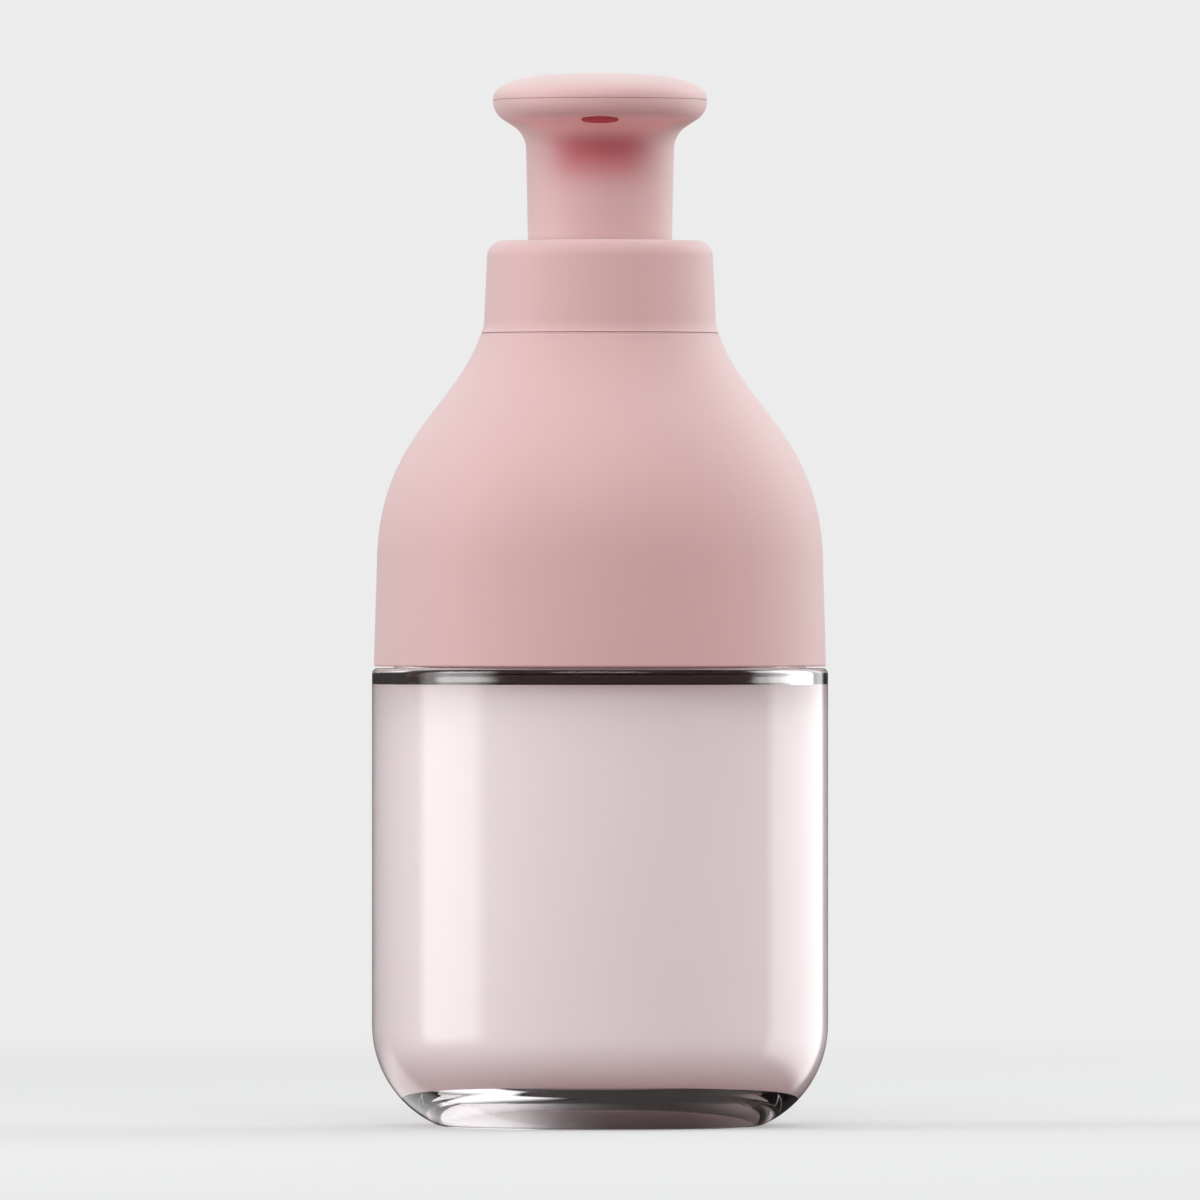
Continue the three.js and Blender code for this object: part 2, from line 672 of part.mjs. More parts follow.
function springShape() {
  const line = new SpringLine(plateLevel - chapletTop - SPRING_WIRE - 2 * SPRING_SEAT);
  console.log(`return spring: least gap between coils ${leastCoilGap(line).toFixed(2)} mm`);
  const corners = Array.from({ length: WIRE_SIDES }, (_, i) => {
    const angle = (2 * Math.PI * i) / WIRE_SIDES;
    return new THREE.Vector2(Math.cos(angle), Math.sin(angle)).multiplyScalar(SPRING_WIRE / 2);
  });
  return new THREE.ExtrudeGeometry(new THREE.Shape(corners), {
    steps: Math.round(SPRING_TURNS * COIL_STEPS),
    extrudePath: line,
  });
}

// Piston: two sealing lips with a waist between them
function pistonShape() {
  const lip = CYLINDER_BORE - SEAT;
  const waist = lip - PISTON_WAIST;
  const bore = stemRadius + SEAT;
  return revolve([
    [bore, 0],
    [lip, 0],
    [waist, PISTON_LIP],
    [waist, PISTON_HEIGHT - PISTON_LIP],
    [lip, PISTON_HEIGHT],
    [bore, PISTON_HEIGHT],
  ], CORE_SIDES);
}

// Stem: two flanges that carry the piston, and the outlet seat at the top
function stemShape() {
  const flange = stemRadius + STEM_FLANGE;
  return revolve([
    [STEM_BORE, stemFoot],
    [flange, stemFoot],
    [flange, stemFoot + STEM_STEP],
    [stemRadius, stemFoot + STEM_STEP],
    [stemRadius, upperFlange],
    [flange, upperFlange],
    [flange, upperFlange + STEM_STEP],
    [stemRadius, upperFlange + STEM_STEP],
    [stemRadius, stemTop],
    [outletRoom, stemTop],
    [outletRoom, outletApex + outletRoom],
    [STEM_BORE, outletApex + STEM_BORE],
  ], CORE_SIDES);
}

// Outline of the flare from the stem to the brim, at `inset` inside the outer skin
function flareOutline(flare, brim, inset) {
  const fillet = flare.fillet + inset;
  const roll = flare.roll - inset;
  const turn = THREE.MathUtils.radToDeg(flare.lean);
  const foot = headSeam - flare.height;
  const top = headSeam - SEAM / 2;
  const centre = STEM_COVER_RADIUS + flare.fillet;
  const hollow = arc(centre, foot, fillet, 180, 180 - turn, CORNER_STEPS);
  const round = arc(brim - flare.roll, headSeam, roll, -turn, 0, CORNER_STEPS).slice(0, -1);
  return [...hollow, ...round, [brim - inset, top]];
}

function shellOutline(flare, brim) {
  const ledge = plateLevel - SEAT;
  return [
    [STEM_COVER_BORE, stemCoverFoot],
    [STEM_COVER_RADIUS - STEM_COVER_TAPER, stemCoverFoot],
    ...flareOutline(flare, brim, 0),
    ...flareOutline(flare, brim, HEAD_WALL).reverse(),
    [STEM_COVER_RADIUS - HEAD_WALL, ledge],
    [STEM_COVER_BORE, ledge],
  ];
}

function shellShape() {
  const side = shellOutline(sideFlare, HEAD_RADIUS);
  const front = shellOutline(frontFlare, HEAD_RADIUS + SPOUT_REACH);
  const nozzle = bar(NOZZLE_RADIUS, flareLevel, headSeam + DOME_HEIGHT, -nozzleReach);
  return cut(revolveSpouted(side, front), nozzle);
}

// Height of a dome above its foot at radius r, as a rounded square law
function domeRise(r, radius, height) {
  return height * (1 - (r / radius) ** DOME_POWER) ** (1 / DOME_POWER);
}
function domeOutline(rim, radius, height, steps) {
  const start = Math.acos((rim / radius) ** (DOME_POWER / 2));
  const points = [];
  for (let i = 0; i < steps; i += 1) {
    const angle = start + ((Math.PI / 2 - start) * i) / steps;
    const r = radius * Math.cos(angle) ** (2 / DOME_POWER);
    points.push([r, headSeam + SEAM / 2 + domeRise(r, radius, height)]);
  }
  return points;
}

function capOutline(brim) {
  const foot = headSeam + SEAM / 2;
  const tongue = brim - HEAD_WALL - TONGUE_GAP;
  const tongueFoot = headSeam - TONGUE_HEIGHT;
  const rim = tongue - TONGUE_WALL;
  const hollow = DOME_HEIGHT - DOME_WALL;
  const inside = domeOutline(rim, brim - HEAD_WALL, hollow, DOME_INNER_STEPS);
  return [
    [0, foot + hollow],
    ...inside.reverse(),
    [rim, tongueFoot],
    [tongue, tongueFoot],
    [tongue, foot],
    ...domeOutline(brim, brim, DOME_HEIGHT, DOME_STEPS),
    [0, foot + DOME_HEIGHT],
  ];
}

function capShape() {
  return revolveSpouted(capOutline(HEAD_RADIUS), capOutline(HEAD_RADIUS + SPOUT_REACH));
}

// Duct: a hub on the stem, the plate for the spring, a riser, and an arm to the nozzle.
// A bar across the bore stops the outlet ball.
function ductShape() {
  const spigot = NOZZLE_RADIUS - SLIP;
  const armEnd = nozzleReach + spigot;
  const slope = Math.PI / 2 - frontFlare.lean;
  const floor = nozzleLevel + spigot * Math.tan(slope) + HEAD_WALL / Math.cos(slope);
  const spoutInside = HEAD_RADIUS + SPOUT_REACH - HEAD_WALL;
  const roof = headSeam + SEAM / 2 + domeRise(armEnd, spoutInside, DOME_HEIGHT - DOME_WALL);
  const armFoot = floor + DUCT_GAP;
  const armTop = roof - DUCT_GAP;
  const spigotFoot = nozzleLevel + NOZZLE_RECESS;
  const riserTop = headSeam + DOME_HEIGHT - DOME_WALL - DUCT_GAP;
  const hubRadius = hubBore + HUB_WALL;
  const plateRadius = STEM_COVER_RADIUS - HEAD_WALL - SLIP;
  const column = revolve([
    [0, hubFoot],
    [hubRadius, hubFoot],
    [hubRadius, plateLevel],
    [plateRadius, plateLevel],
    [plateRadius, plateLevel + PLATE_HEIGHT],
    [RISER_RADIUS, plateLevel + PLATE_HEIGHT],
    [RISER_RADIUS, riserTop],
    [0, riserTop],
  ], CORE_SIDES);
  const whole = unite(
    column,
    block(2 * spigot, -nozzleReach, 0, armFoot, armTop),
    bar(spigot, spigotFoot, armTop, -nozzleReach),
  );
  const ceiling = armTop - DUCT_WALL;
  const bored = cut(
    whole,
    bar(hubBore, hubFoot - EDGE, stemTop + SEAT),
    bar(outletRoom, stemTop, ceiling),
    block(2 * DUCT_BORE, -nozzleReach, 0, armFoot + DUCT_WALL, ceiling),
    bar(DUCT_BORE, spigotFoot - EDGE, ceiling, -nozzleReach),
  );
  const stop = outletRoom + EDGE;
  return unite(bored, block(STOP_BAR, -stop, stop, stemTop + BALL_FIT, stemTop + STOP_BAR));
}

// Materials
const clear = new THREE.MeshStandardMaterial({
  color: 0xf4f1f2, roughness: 0.05, metalness: 0, transparent: true, opacity: 0.3,
});
const milk = new THREE.MeshStandardMaterial({ color: 0xe6d3d6, roughness: 0.35, metalness: 0 });
const pink = new THREE.MeshStandardMaterial({ color: 0xdcb4b1, roughness: 0.55, metalness: 0 });
const rubber = new THREE.MeshStandardMaterial({ color: 0x3c302e, roughness: 0.7, metalness: 0 });
const natural = new THREE.MeshStandardMaterial({ color: 0xeceae6, roughness: 0.45, metalness: 0 });
const steel = new THREE.MeshStandardMaterial({ color: 0xb9bcc0, roughness: 0.3, metalness: 1 });

function piece(parent, name, geometry, material, level = 0) {
  const mesh = new THREE.Mesh(geometry, material);
  mesh.name = name;
  mesh.position.z = level;
  parent.add(mesh);
}
function assembly(parent, name) {
  const group = new THREE.Group();
  group.name = name;
  parent.add(group);
  return group;
}

const bottle = new THREE.Group();
bottle.name = "body_wash_bottle";

const jar = assembly(bottle, "jar");
piece(jar, "vessel", vesselShape(), clear);
piece(jar, "body_wash", contentsShape(), milk, VESSEL_FLOOR + SEAT);

const top = assembly(bottle, "top");
piece(top, "plug_insert", plugShape(), pink);
piece(top, "bore_seal", sealShape(), rubber, sealFoot);
piece(top, "shoulder", shoulderShape(), pink);

const pump = assembly(top, "pump");
piece(pump, "neck_gasket", gasketShape(), rubber, gasketLevel);
piece(pump, "pump_housing", housingShape(), natural);
piece(pump, "chaplet", chapletShape(), natural);
piece(pump, "dip_tube", tubeShape(), natural, tubeFoot);
piece(pump, "ball_cage", cageShape(), natural, cageFoot);
piece(pump, "inlet_ball", ballShape(INLET_BALL), steel, inletCentre);
piece(pump, "return_spring", springShape(), steel, chapletTop + SPRING_WIRE / 2 + SPRING_SEAT);
piece(pump, "closure", closureShape(), natural);
piece(pump, "collar_cover", collarShape(), pink);

const plunger = assembly(pump, "plunger");
piece(plunger, "piston_seal", pistonShape(), natural, pistonFoot);
piece(plunger, "stem", stemShape(), natural);
piece(plunger, "outlet_ball", ballShape(OUTLET_BALL), steel, outletCentre);

const head = assembly(plunger, "head");
piece(head, "nozzle_duct", ductShape(), pink);
piece(head, "actuator_shell", shellShape(), pink);
piece(head, "actuator_top", capShape(), pink);

export default bottle;
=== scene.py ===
"""Looks of a body wash pump bottle: a thick clear vessel of milky wash under a matte pink pump.

Each new piece is an outline (r, z) turned about the Z axis, or a section carried along a
helix, worked out with numpy on a whole grid. Lengths are metres and the spout looks to -Y.
"""

import bmesh
import bpy
import numpy as np
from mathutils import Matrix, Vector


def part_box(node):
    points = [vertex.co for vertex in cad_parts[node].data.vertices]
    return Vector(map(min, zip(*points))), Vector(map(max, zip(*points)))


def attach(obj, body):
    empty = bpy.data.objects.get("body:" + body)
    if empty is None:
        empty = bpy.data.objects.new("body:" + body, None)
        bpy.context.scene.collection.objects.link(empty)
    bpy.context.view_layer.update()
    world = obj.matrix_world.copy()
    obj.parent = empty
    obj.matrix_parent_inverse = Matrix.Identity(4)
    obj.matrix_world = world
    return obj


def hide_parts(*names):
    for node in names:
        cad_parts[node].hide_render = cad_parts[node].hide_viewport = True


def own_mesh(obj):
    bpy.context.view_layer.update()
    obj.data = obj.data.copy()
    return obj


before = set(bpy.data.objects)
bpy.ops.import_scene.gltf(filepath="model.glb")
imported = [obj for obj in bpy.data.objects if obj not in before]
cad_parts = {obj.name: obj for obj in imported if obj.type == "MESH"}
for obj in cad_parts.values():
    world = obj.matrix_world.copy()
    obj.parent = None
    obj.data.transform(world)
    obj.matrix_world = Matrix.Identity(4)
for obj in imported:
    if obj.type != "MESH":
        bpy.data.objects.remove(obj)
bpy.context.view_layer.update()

MM = 0.001

# Fineness of the surfaces
SIDES = 192  # grid columns round the axis
ARC_ROWS = 16  # grid rows over a rounded corner
BELL_ROWS = 48  # grid rows over the shoulder's curve
DOME_ROWS = 40  # grid rows over the head's dome
DISH_ROWS = 12  # grid rows over the dished underside
TURN_COLUMNS = 96  # grid columns in one turn of a thread or a spring
WIRE_COLUMNS = 16  # grid columns round the spring wire
STRETCH_END = 0.4 * MM  # a straight gets a row this far from each end, for even gloss
WELD = 1e-7  # points closer than this are one point
SHARP = np.radians(35)  # a bare edge that turns more than this is shaded as an edge


def foot_of(node):
    """Lowest level of a CAD node."""
    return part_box(node)[0][2]


def top_of(node):
    """Highest level of a CAD node."""
    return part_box(node)[1][2]


def radius_of(node):
    """Half of a CAD node's width across the spout's direction."""
    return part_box(node)[1][0]


# Clearances between neighbouring pieces
SEAM = 0.3 * MM
SEAT = 0.1 * MM
SLIP = 0.25 * MM
CONTACT = 0.05 * MM  # the wash wets the wall, so its skin lies this far inside the plastic

# Vessel
VESSEL_RADIUS = radius_of("vessel")
VESSEL_FLOOR = foot_of("body_wash") - SEAT
LEDGE = foot_of("shoulder") - SEAM
MOUTH_TOP = top_of("vessel")
VESSEL_BORE = radius_of("body_wash") + SEAT
MOUTH_WALL = 1.8 * MM
BASE_CORNER = 18 * MM
BASE_LEAN = np.radians(64)  # the corner's curve comes down to the foot at this lean
FOOT_RADIUS = VESSEL_RADIUS - 11.1 * MM
FOOT_EDGE = 4 * MM
FOOT_WIDTH = 5.4 * MM
FOOT_DISH = 0.6 * MM
FLOOR_CORNER = 9 * MM
LEDGE_CORNER = 0.9 * MM
RIM_CORNER = 0.5 * MM

# Contents
WASH_TOP = top_of("body_wash")
MENISCUS = 1.05 * MM  # how far the wash climbs the wall, to the seal
MENISCUS_WIDTH = 0.45 * MM
RIM_FADE = 4 * MM  # depth over which the film at its rim gives way to deep wash
WETTED_ANGLE = np.radians(49)  # how far round the floor's corner the wash wets the wall
DRYING_ANGLE = np.radians(4)
TUBE_ROOM = 3.4 * MM
TUBE_ROOM_FOOT = VESSEL_FLOOR + 1.5 * MM

# Threads
THREAD_BASE = 2 * MM
THREAD_CREST = 0.9 * MM
THREAD_SINK = 0.5 * MM
THREAD_CORNER = 0.25 * MM
THREAD_FADE = 0.12  # turns over which a ridge rises out of its wall
THREAD_TURNS = 1.1
THREAD_PITCH = 4.2 * MM
THREAD_DEPTH = 1.1 * MM
THREAD_LAG = 0.4  # turns by which the outer piece's ridge starts later
THREAD_MESH = 0.5  # turns from a ridge to the middle of its groove
MOUTH_THREAD_LEVEL = LEDGE + (MOUTH_TOP - LEDGE - THREAD_PITCH * THREAD_TURNS) / 2

# Mouth seal
PLUG_WALL = 1.6 * MM
PLUG_LIP = 0.6 * MM
LOWER_LIP_GAP = 0.5 * MM  # from the lower lip to the bore
UPPER_LIP_GAP = 0.15 * MM  # from the upper lip to the bore
PLUG_FLANGE = 1.2 * MM
SMALL_CORNER = 0.2 * MM
SEAL_SECTION = 1.9 * MM
SEAL_CORNER = 0.45 * MM
SEAL_DROP = 0.7 * MM  # the plug's upper lip takes this much of the solid's height
SEAL_TOP = top_of("bore_seal") - SEAL_DROP

# Shoulder
SKIRT_RADIUS = radius_of("shoulder")
SKIRT_FOOT = foot_of("shoulder")
SKIRT_WALL = 2 * MM
SHOULDER_WALL = 2.2 * MM
BELT_HEIGHT = 16.4 * MM
BELT_DRAFT = 0.5 * MM
BELT_SWEEP = 21.2 * MM
CREST_SWEEP = 13 * MM
CREST_LEAN = np.radians(19)
LAND_LEVEL = top_of("plug_insert") + SEAT
LAND_WIDTH = 2.2 * MM
LAND_HEIGHT = 1.5 * MM
NECK_TOP = top_of("shoulder")
NECK_SHELF = 2.5 * MM
NECK_RADIUS = 14.85 * MM
NECK_WALL = 1.4 * MM
COVER_CORNER = 0.3 * MM  # edges on both sides of an open seam
SEAM_DEPTH = 0.08 * MM  # a lip closes the seam this far in
SEAM_LIP = 0.28 * MM  # height of that lip
LIP_CORNER = 0.08 * MM

# Collar
COLLAR_FOOT = foot_of("collar_cover")
COLLAR_TOP = top_of("collar_cover")
COLLAR_FLARED = radius_of("collar_cover")
COLLAR_FLARE = 0.6 * MM
COLLAR_FLARE_HEIGHT = 2.4 * MM
COLLAR_DRAFT = 0.6 * MM
COLLAR_CORNER = 2.6 * MM
COLLAR_BORE = radius_of("closure") + SEAT
COLLAR_PLATE = 1.3 * MM
COLLAR_HOLE_CORNER = 0.35 * MM

# Head
HEAD_RADIUS = radius_of("actuator_top")
SPOUT_RADIUS = -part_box("actuator_top")[0][1]
HEAD_TOP = top_of("actuator_top")
HEAD_SEAM = top_of("actuator_shell") + SEAM / 2
HEAD_WALL = 1.5 * MM
STEM_FOOT = foot_of("actuator_shell")
STEM_RADIUS = 12.2 * MM
STEM_TAPER = 0.4 * MM
STEM_BORE = 10 * MM
STEM_LEDGE = 159.9 * MM
SIDE_FILLET = 4.6 * MM
SIDE_ROLL = 3.6 * MM
SIDE_LEAN = np.radians(57)
FRONT_FILLET = 4 * MM
FRONT_ROLL = 3 * MM
FRONT_LEAN = np.radians(82)
DOME_WALL = 1.4 * MM
DOME_POWER = 2.6
TONGUE_WALL = 0.8 * MM
TONGUE_GAP = 0.4 * MM
TONGUE_FOOT = foot_of("actuator_top")
NOZZLE_RADIUS = 2.7 * MM
NOZZLE_EDGE = 0.15 * MM  # how much the mouth of the nozzle is eased
NOZZLE_DEPTH = 4 * MM
PAINTED_LIGHT_RISE = 0.9 * MM  # painted light: the spout's floor is painted paler from this far above the nozzle's mouth
PAINTED_SHADE_START = 0.6 * MM  # painted shade: the hollow's deeper pink starts this far below it
PAINTED_SHADE_DEPTH = 4.5 * MM  # is fullest this far below it
PAINTED_SHADE_DROP = 13 * MM  # and ends this far below it
PAINTED_SHADING_FRONT = 5 * MM  # the painted light and painted shade both start this far in front of the pump's axis
PAINTED_SHADE_CORE = 2 * MM  # half the width of the painted shade's full part
PAINTED_SHADE_REACH = 11.5 * MM  # half its whole width

GRAIN = 0.28 * MM  # size of the pink finish's grain

# Spring
SPRING_WIRE = 1.1 * MM
SPRING_TURNS = 7.5
SPRING_CLOSING = 0.5  # how much closer the end coils lie


def rounded(corners, closed=False):
    """Outline of straight stretches whose corners (r, z, radius) are arcs.

    An arc touches both of its stretches, so it starts radius * tan(half the turn) before the
    corner. Its arm turns evenly about a centre that lies radius / cos(half the turn) from the
    corner, on the line that halves it. A straight at an arc gets a row near each end and one
    halfway.
    """
    corners = np.array(corners, float)
    count = len(corners)
    runs = []
    for i, (r, z, radius) in enumerate(corners):
        corner = np.array((r, z))
        bare = not closed and i in (0, count - 1)
        if radius == 0 or bare:
            runs.append(corner[None])
            continue
        back = corners[i - 1, :2] - corner
        ahead = corners[(i + 1) % count, :2] - corner
        back /= np.linalg.norm(back)
        ahead /= np.linalg.norm(ahead)
        turn = np.pi - np.arccos(np.clip(back @ ahead, -1, 1))
        middle = (back + ahead) / np.linalg.norm(back + ahead)
        centre = corner + middle * radius / np.cos(turn / 2)
        first = corner + back * radius * np.tan(turn / 2) - centre
        last = corner + ahead * radius * np.tan(turn / 2) - centre
        share = np.linspace(0, 1, ARC_ROWS + 1)[:, None]
        arm = (np.sin((1 - share) * turn) * first + np.sin(share * turn) * last) / np.sin(turn)
        runs.append(centre + arm)
    if closed:
        runs.append(runs[0][:1])
    joined = []
    for run, following in zip(runs[:-1], runs[1:]):
        joined.append(run)
        if max(len(run), len(following)) > 1:
            straight = following[0] - run[-1]
            end = min(STRETCH_END / max(np.linalg.norm(straight), WELD), 0.25)
            joined.append(run[-1] + np.array((end, 0.5, 1 - end))[:, None] * straight)
    if not closed:
        joined.append(runs[-1])
    return np.concatenate(joined)


def arc(centre, radius, start, end):
    """Points about a centre (r, z). Angles lean downwards from the outward direction."""
    angle = np.linspace(start, end, ARC_ROWS + 1)
    return np.array(centre) + radius * np.stack((np.cos(angle), -np.sin(angle)), axis=-1)


def curve_corners(points):
    """Points of a smooth curve as corners without an arc."""
    return [(r, z, 0) for r, z in points]


def bell_curve(crest, foot):
    """Cubic curve from a crest that leans outwards down to an upright foot.

    Its four control points are the crest, the crest moved along its lean by CREST_SWEEP, the
    foot raised by BELT_SWEEP and the foot, weighted by (1-t)^3, 3t(1-t)^2, 3t^2(1-t) and t^3.
    """
    crest = np.array(crest)
    foot = np.array(foot)
    lean = np.array((np.sin(CREST_LEAN), -np.cos(CREST_LEAN)))
    rise = np.array((0, BELT_SWEEP))
    t = np.linspace(0, 1, BELL_ROWS + 1)[:, None]
    return (
        (1 - t) ** 3 * crest
        + 3 * t * (1 - t) ** 2 * (crest + CREST_SWEEP * lean)
        + 3 * t**2 * (1 - t) * (foot + rise)
        + t**3 * foot
    )


def turned(outline, front=None):
    """Surface of an outline turned about Z: (r sin a, -r cos a, z) at every angle a.

    With a second outline, the surface changes to it towards the spout: its share is
    cos(a) squared on the spout's half of the circle and nothing on the other.
    """
    angle = np.linspace(0, 2 * np.pi, SIDES, endpoint=False)
    share = np.maximum(0, np.cos(angle)) ** 2
    other = outline if front is None else front
    blended = outline[:, None] * (1 - share)[:, None] + other[:, None] * share[:, None]
    r, z = blended[..., 0], blended[..., 1]
    return np.stack((r * np.sin(angle), -r * np.cos(angle), z), axis=-1)


def helix_ridge(root, level, first_turn, turns, facing):
    """Thread ridge: a rounded trapezoid section carried up a helix on a wall of radius root.

    A point (out, along) of the section goes to radius root + facing * out and to level
    level + pitch * turn + along. Towards both ends out shrinks until the ridge lies in its wall.
    """
    section = rounded(
        [
            (-THREAD_SINK, -THREAD_BASE / 2, 0),
            (THREAD_DEPTH, -THREAD_CREST / 2, THREAD_CORNER),
            (THREAD_DEPTH, THREAD_CREST / 2, THREAD_CORNER),
            (-THREAD_SINK, THREAD_BASE / 2, 0),
        ],
        closed=True,
    )
    turn = np.linspace(0, turns, round(turns * TURN_COLUMNS) + 1)[:, None]
    rise = np.clip(np.minimum(turn, turns - turn) / THREAD_FADE, 0, 1)
    sunk = THREAD_SINK / (THREAD_SINK + THREAD_DEPTH) / 2
    out = -THREAD_SINK + (section[:, 0] + THREAD_SINK) * (sunk + (1 - sunk) * rise)
    r = root + facing * out
    angle = 2 * np.pi * (first_turn + turn)
    z = level + THREAD_PITCH * turn - facing * section[:, 1]
    return capped(np.stack((r * np.sin(angle), -r * np.cos(angle), z + 0 * r), axis=-1))


def coil(radius, foot, height):
    """Spring wire: a circle carried up a helix whose coils close up towards both ends.

    At share s of its length the wire's centre stands at angle 2 pi turns s and at level
    height * (s - closing * sin(2 pi s) / 2 pi). The circle spans the outward direction and the
    direction square to it and to the wire.
    """
    share = np.linspace(0, 1, round(SPRING_TURNS * TURN_COLUMNS) + 1)
    angle = 2 * np.pi * SPRING_TURNS * share
    level = foot + height * (share - SPRING_CLOSING * np.sin(2 * np.pi * share) / (2 * np.pi))
    centre = np.stack((radius * np.cos(angle), radius * np.sin(angle), level), axis=-1)
    outward = np.stack((np.cos(angle), np.sin(angle), 0 * angle), axis=-1)
    along = np.gradient(centre, axis=0)
    across = np.cross(along, outward)
    across /= np.linalg.norm(across, axis=1, keepdims=True)
    around = np.linspace(0, 2 * np.pi, WIRE_COLUMNS, endpoint=False)
    ring = np.cos(around)[:, None] * outward[:, None] + np.sin(around)[:, None] * across[:, None]
    return capped(centre[:, None] + SPRING_WIRE / 2 * ring)


def capped(grid):
    """A tube's grid with both ends drawn together to the middle of their ring."""
    ends = grid[[0, -1]].mean(axis=1, keepdims=True)
    ends = np.repeat(ends, grid.shape[1], axis=1)
    return np.concatenate((ends[:1], grid, ends[1:]))


def mesh_of(name, grid, closed_rows):
    """Mesh of quads between neighbouring grid points. Columns close on themselves, and equal
    points, such as a pole's, are welded into one."""
    rows, columns = grid.shape[:2]
    row, column = np.meshgrid(
        np.arange(rows if closed_rows else rows - 1), np.arange(columns), indexing="ij"
    )
    next_row = (row + 1) % rows
    next_column = (column + 1) % columns
    faces = np.stack(
        (
            row * columns + column,
            row * columns + next_column,
            next_row * columns + next_column,
            next_row * columns + column,
        ),
        axis=-1,
    )
    mesh = bpy.data.meshes.new(name)
    mesh.from_pydata(grid.reshape(-1, 3).tolist(), [], faces.reshape(-1, 4).tolist())
    work = bmesh.new()
    work.from_mesh(mesh)
    bmesh.ops.remove_doubles(work, verts=work.verts, dist=WELD)
    bmesh.ops.dissolve_degenerate(work, edges=work.edges, dist=WELD)
    bmesh.ops.recalc_face_normals(work, faces=work.faces)
    work.to_mesh(mesh)
    work.free()
    return mesh


def object_of(name, grid, closed_rows=False):
    """Object at the origin with the mesh of a grid."""
    made = bpy.data.objects.new(name, mesh_of(name, grid, closed_rows))
    bpy.context.scene.collection.objects.link(made)
    return made


def combined(first, operation, *others):
    """The first object with the others joined to it or cut out of it. The others go away."""
    for other in others:
        step = first.modifiers.new(other.name, "BOOLEAN")
        step.operation = operation
        step.solver = "EXACT"
        step.object = other
    bpy.context.view_layer.update()
    shown = first.evaluated_get(bpy.context.evaluated_depsgraph_get())
    first.modifiers.clear()
    first.data = bpy.data.meshes.new_from_object(shown)
    for other in others:
        bpy.data.objects.remove(other)
    return first


def placed(made, body, slot, material, *nodes):
    """Finishes a piece: its shading and material, the body that it rides on, the record's material
    slot (not used), and the CAD nodes that it stands for."""
    made.data.materials.clear()
    made.data.materials.append(material)
    made.data.shade_smooth()
    made.data.set_sharp_from_angle(angle=SHARP)
    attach(made, body)
    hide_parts(*nodes)
    return made


class Socket:
    """An output socket of a node. Arithmetic on it adds Math nodes to its tree."""

    def __init__(self, tree, link=None):
        self.tree = tree
        self.link = link

    def node(self, kind, settings, inputs, output=0):
        """A new node: its kind, its settings, then the values or links of its sockets."""
        made = self.tree.nodes.new(kind)
        for name, value in settings.items():
            setattr(made, name, value)
        for name, value in inputs.items():
            if isinstance(value, Socket):
                self.tree.links.new(value.link, made.inputs[name])
            else:
                made.inputs[name].default_value = value
        return Socket(self.tree, made.outputs[output])

    def math(self, operation, first, second):
        return self.node("ShaderNodeMath", {"operation": operation}, {0: first, 1: second})

    def __add__(self, other):
        return self.math("ADD", self, other)

    __radd__ = __add__

    def __sub__(self, other):
        return self.math("SUBTRACT", self, other)

    def __rsub__(self, other):
        return self.math("SUBTRACT", other, self)

    def __mul__(self, other):
        return self.math("MULTIPLY", self, other)

    __rmul__ = __mul__


def noise(place, size, detail, stretch=(1, 1, 1)):
    """Noise from 0 to 1 whose patches are about size across, times stretch along each axis."""
    scale = [1 / (size * share) for share in stretch]
    spot = place.node("ShaderNodeMapping", {}, {"Vector": place, "Scale": scale})
    return place.node("ShaderNodeTexNoise", {}, {"Vector": spot, "Scale": 1, "Detail": detail})


def between(share, first, second):
    """Colour that goes from first to second as share goes from 0 to 1."""
    settings = {"data_type": "RGBA"}
    return share.node("ShaderNodeMix", settings, {0: share, 6: first, 7: second}, 2)


def eased(value, outer, inner):
    """Share that rises smoothly from 0 where value is outer to 1 where it is inner."""
    limits = {"Value": value, "From Min": outer, "From Max": inner}
    return value.node("ShaderNodeMapRange", {"interpolation_type": "SMOOTHSTEP"}, limits)


def part_of(place, axis):
    """One coordinate of a place."""
    return place.node("ShaderNodeSeparateXYZ", {}, {0: place}, axis)


def bumped(height, depth, strength):
    """Normal of a surface with bumps of that depth."""
    inputs = {"Height": height, "Distance": depth, "Strength": strength}
    return height.node("ShaderNodeBump", {}, inputs)


def colour(red, green, blue):
    """Linear colour of an 8-bit screen colour."""
    share = np.array((red, green, blue)) / 255
    linear = np.where(share <= 0.04045, share / 12.92, ((share + 0.055) / 1.055) ** 2.4)
    return (*linear.tolist(), 1)


def material(name, paint):
    """Node material whose shader paint(place) makes from the piece's Object coordinates."""
    made = bpy.data.materials.new(name)
    made.use_nodes = True
    tree = made.node_tree
    tree.nodes.clear()
    place = Socket(tree).node("ShaderNodeTexCoord", {}, {}, "Object")
    end = tree.nodes.new("ShaderNodeOutputMaterial")
    tree.links.new(paint(place).link, end.inputs["Surface"])
    return made


def nozzle_place():
    """Where the nozzle's axis meets the floor of the spout, in the middle of its straight
    stretch (y, z), and how far the axis leans back from the vertical."""
    half = np.tan(FRONT_LEAN / 2)
    top_bend = np.array((SPOUT_RADIUS, HEAD_SEAM - FRONT_ROLL * half))
    along = np.array((np.sin(FRONT_LEAN), np.cos(FRONT_LEAN)))
    length = (SPOUT_RADIUS - STEM_RADIUS) / np.sin(FRONT_LEAN)
    reach, level = top_bend - along * (length - (FRONT_FILLET - FRONT_ROLL) * half) / 2
    return -reach, level, np.pi / 2 - FRONT_LEAN


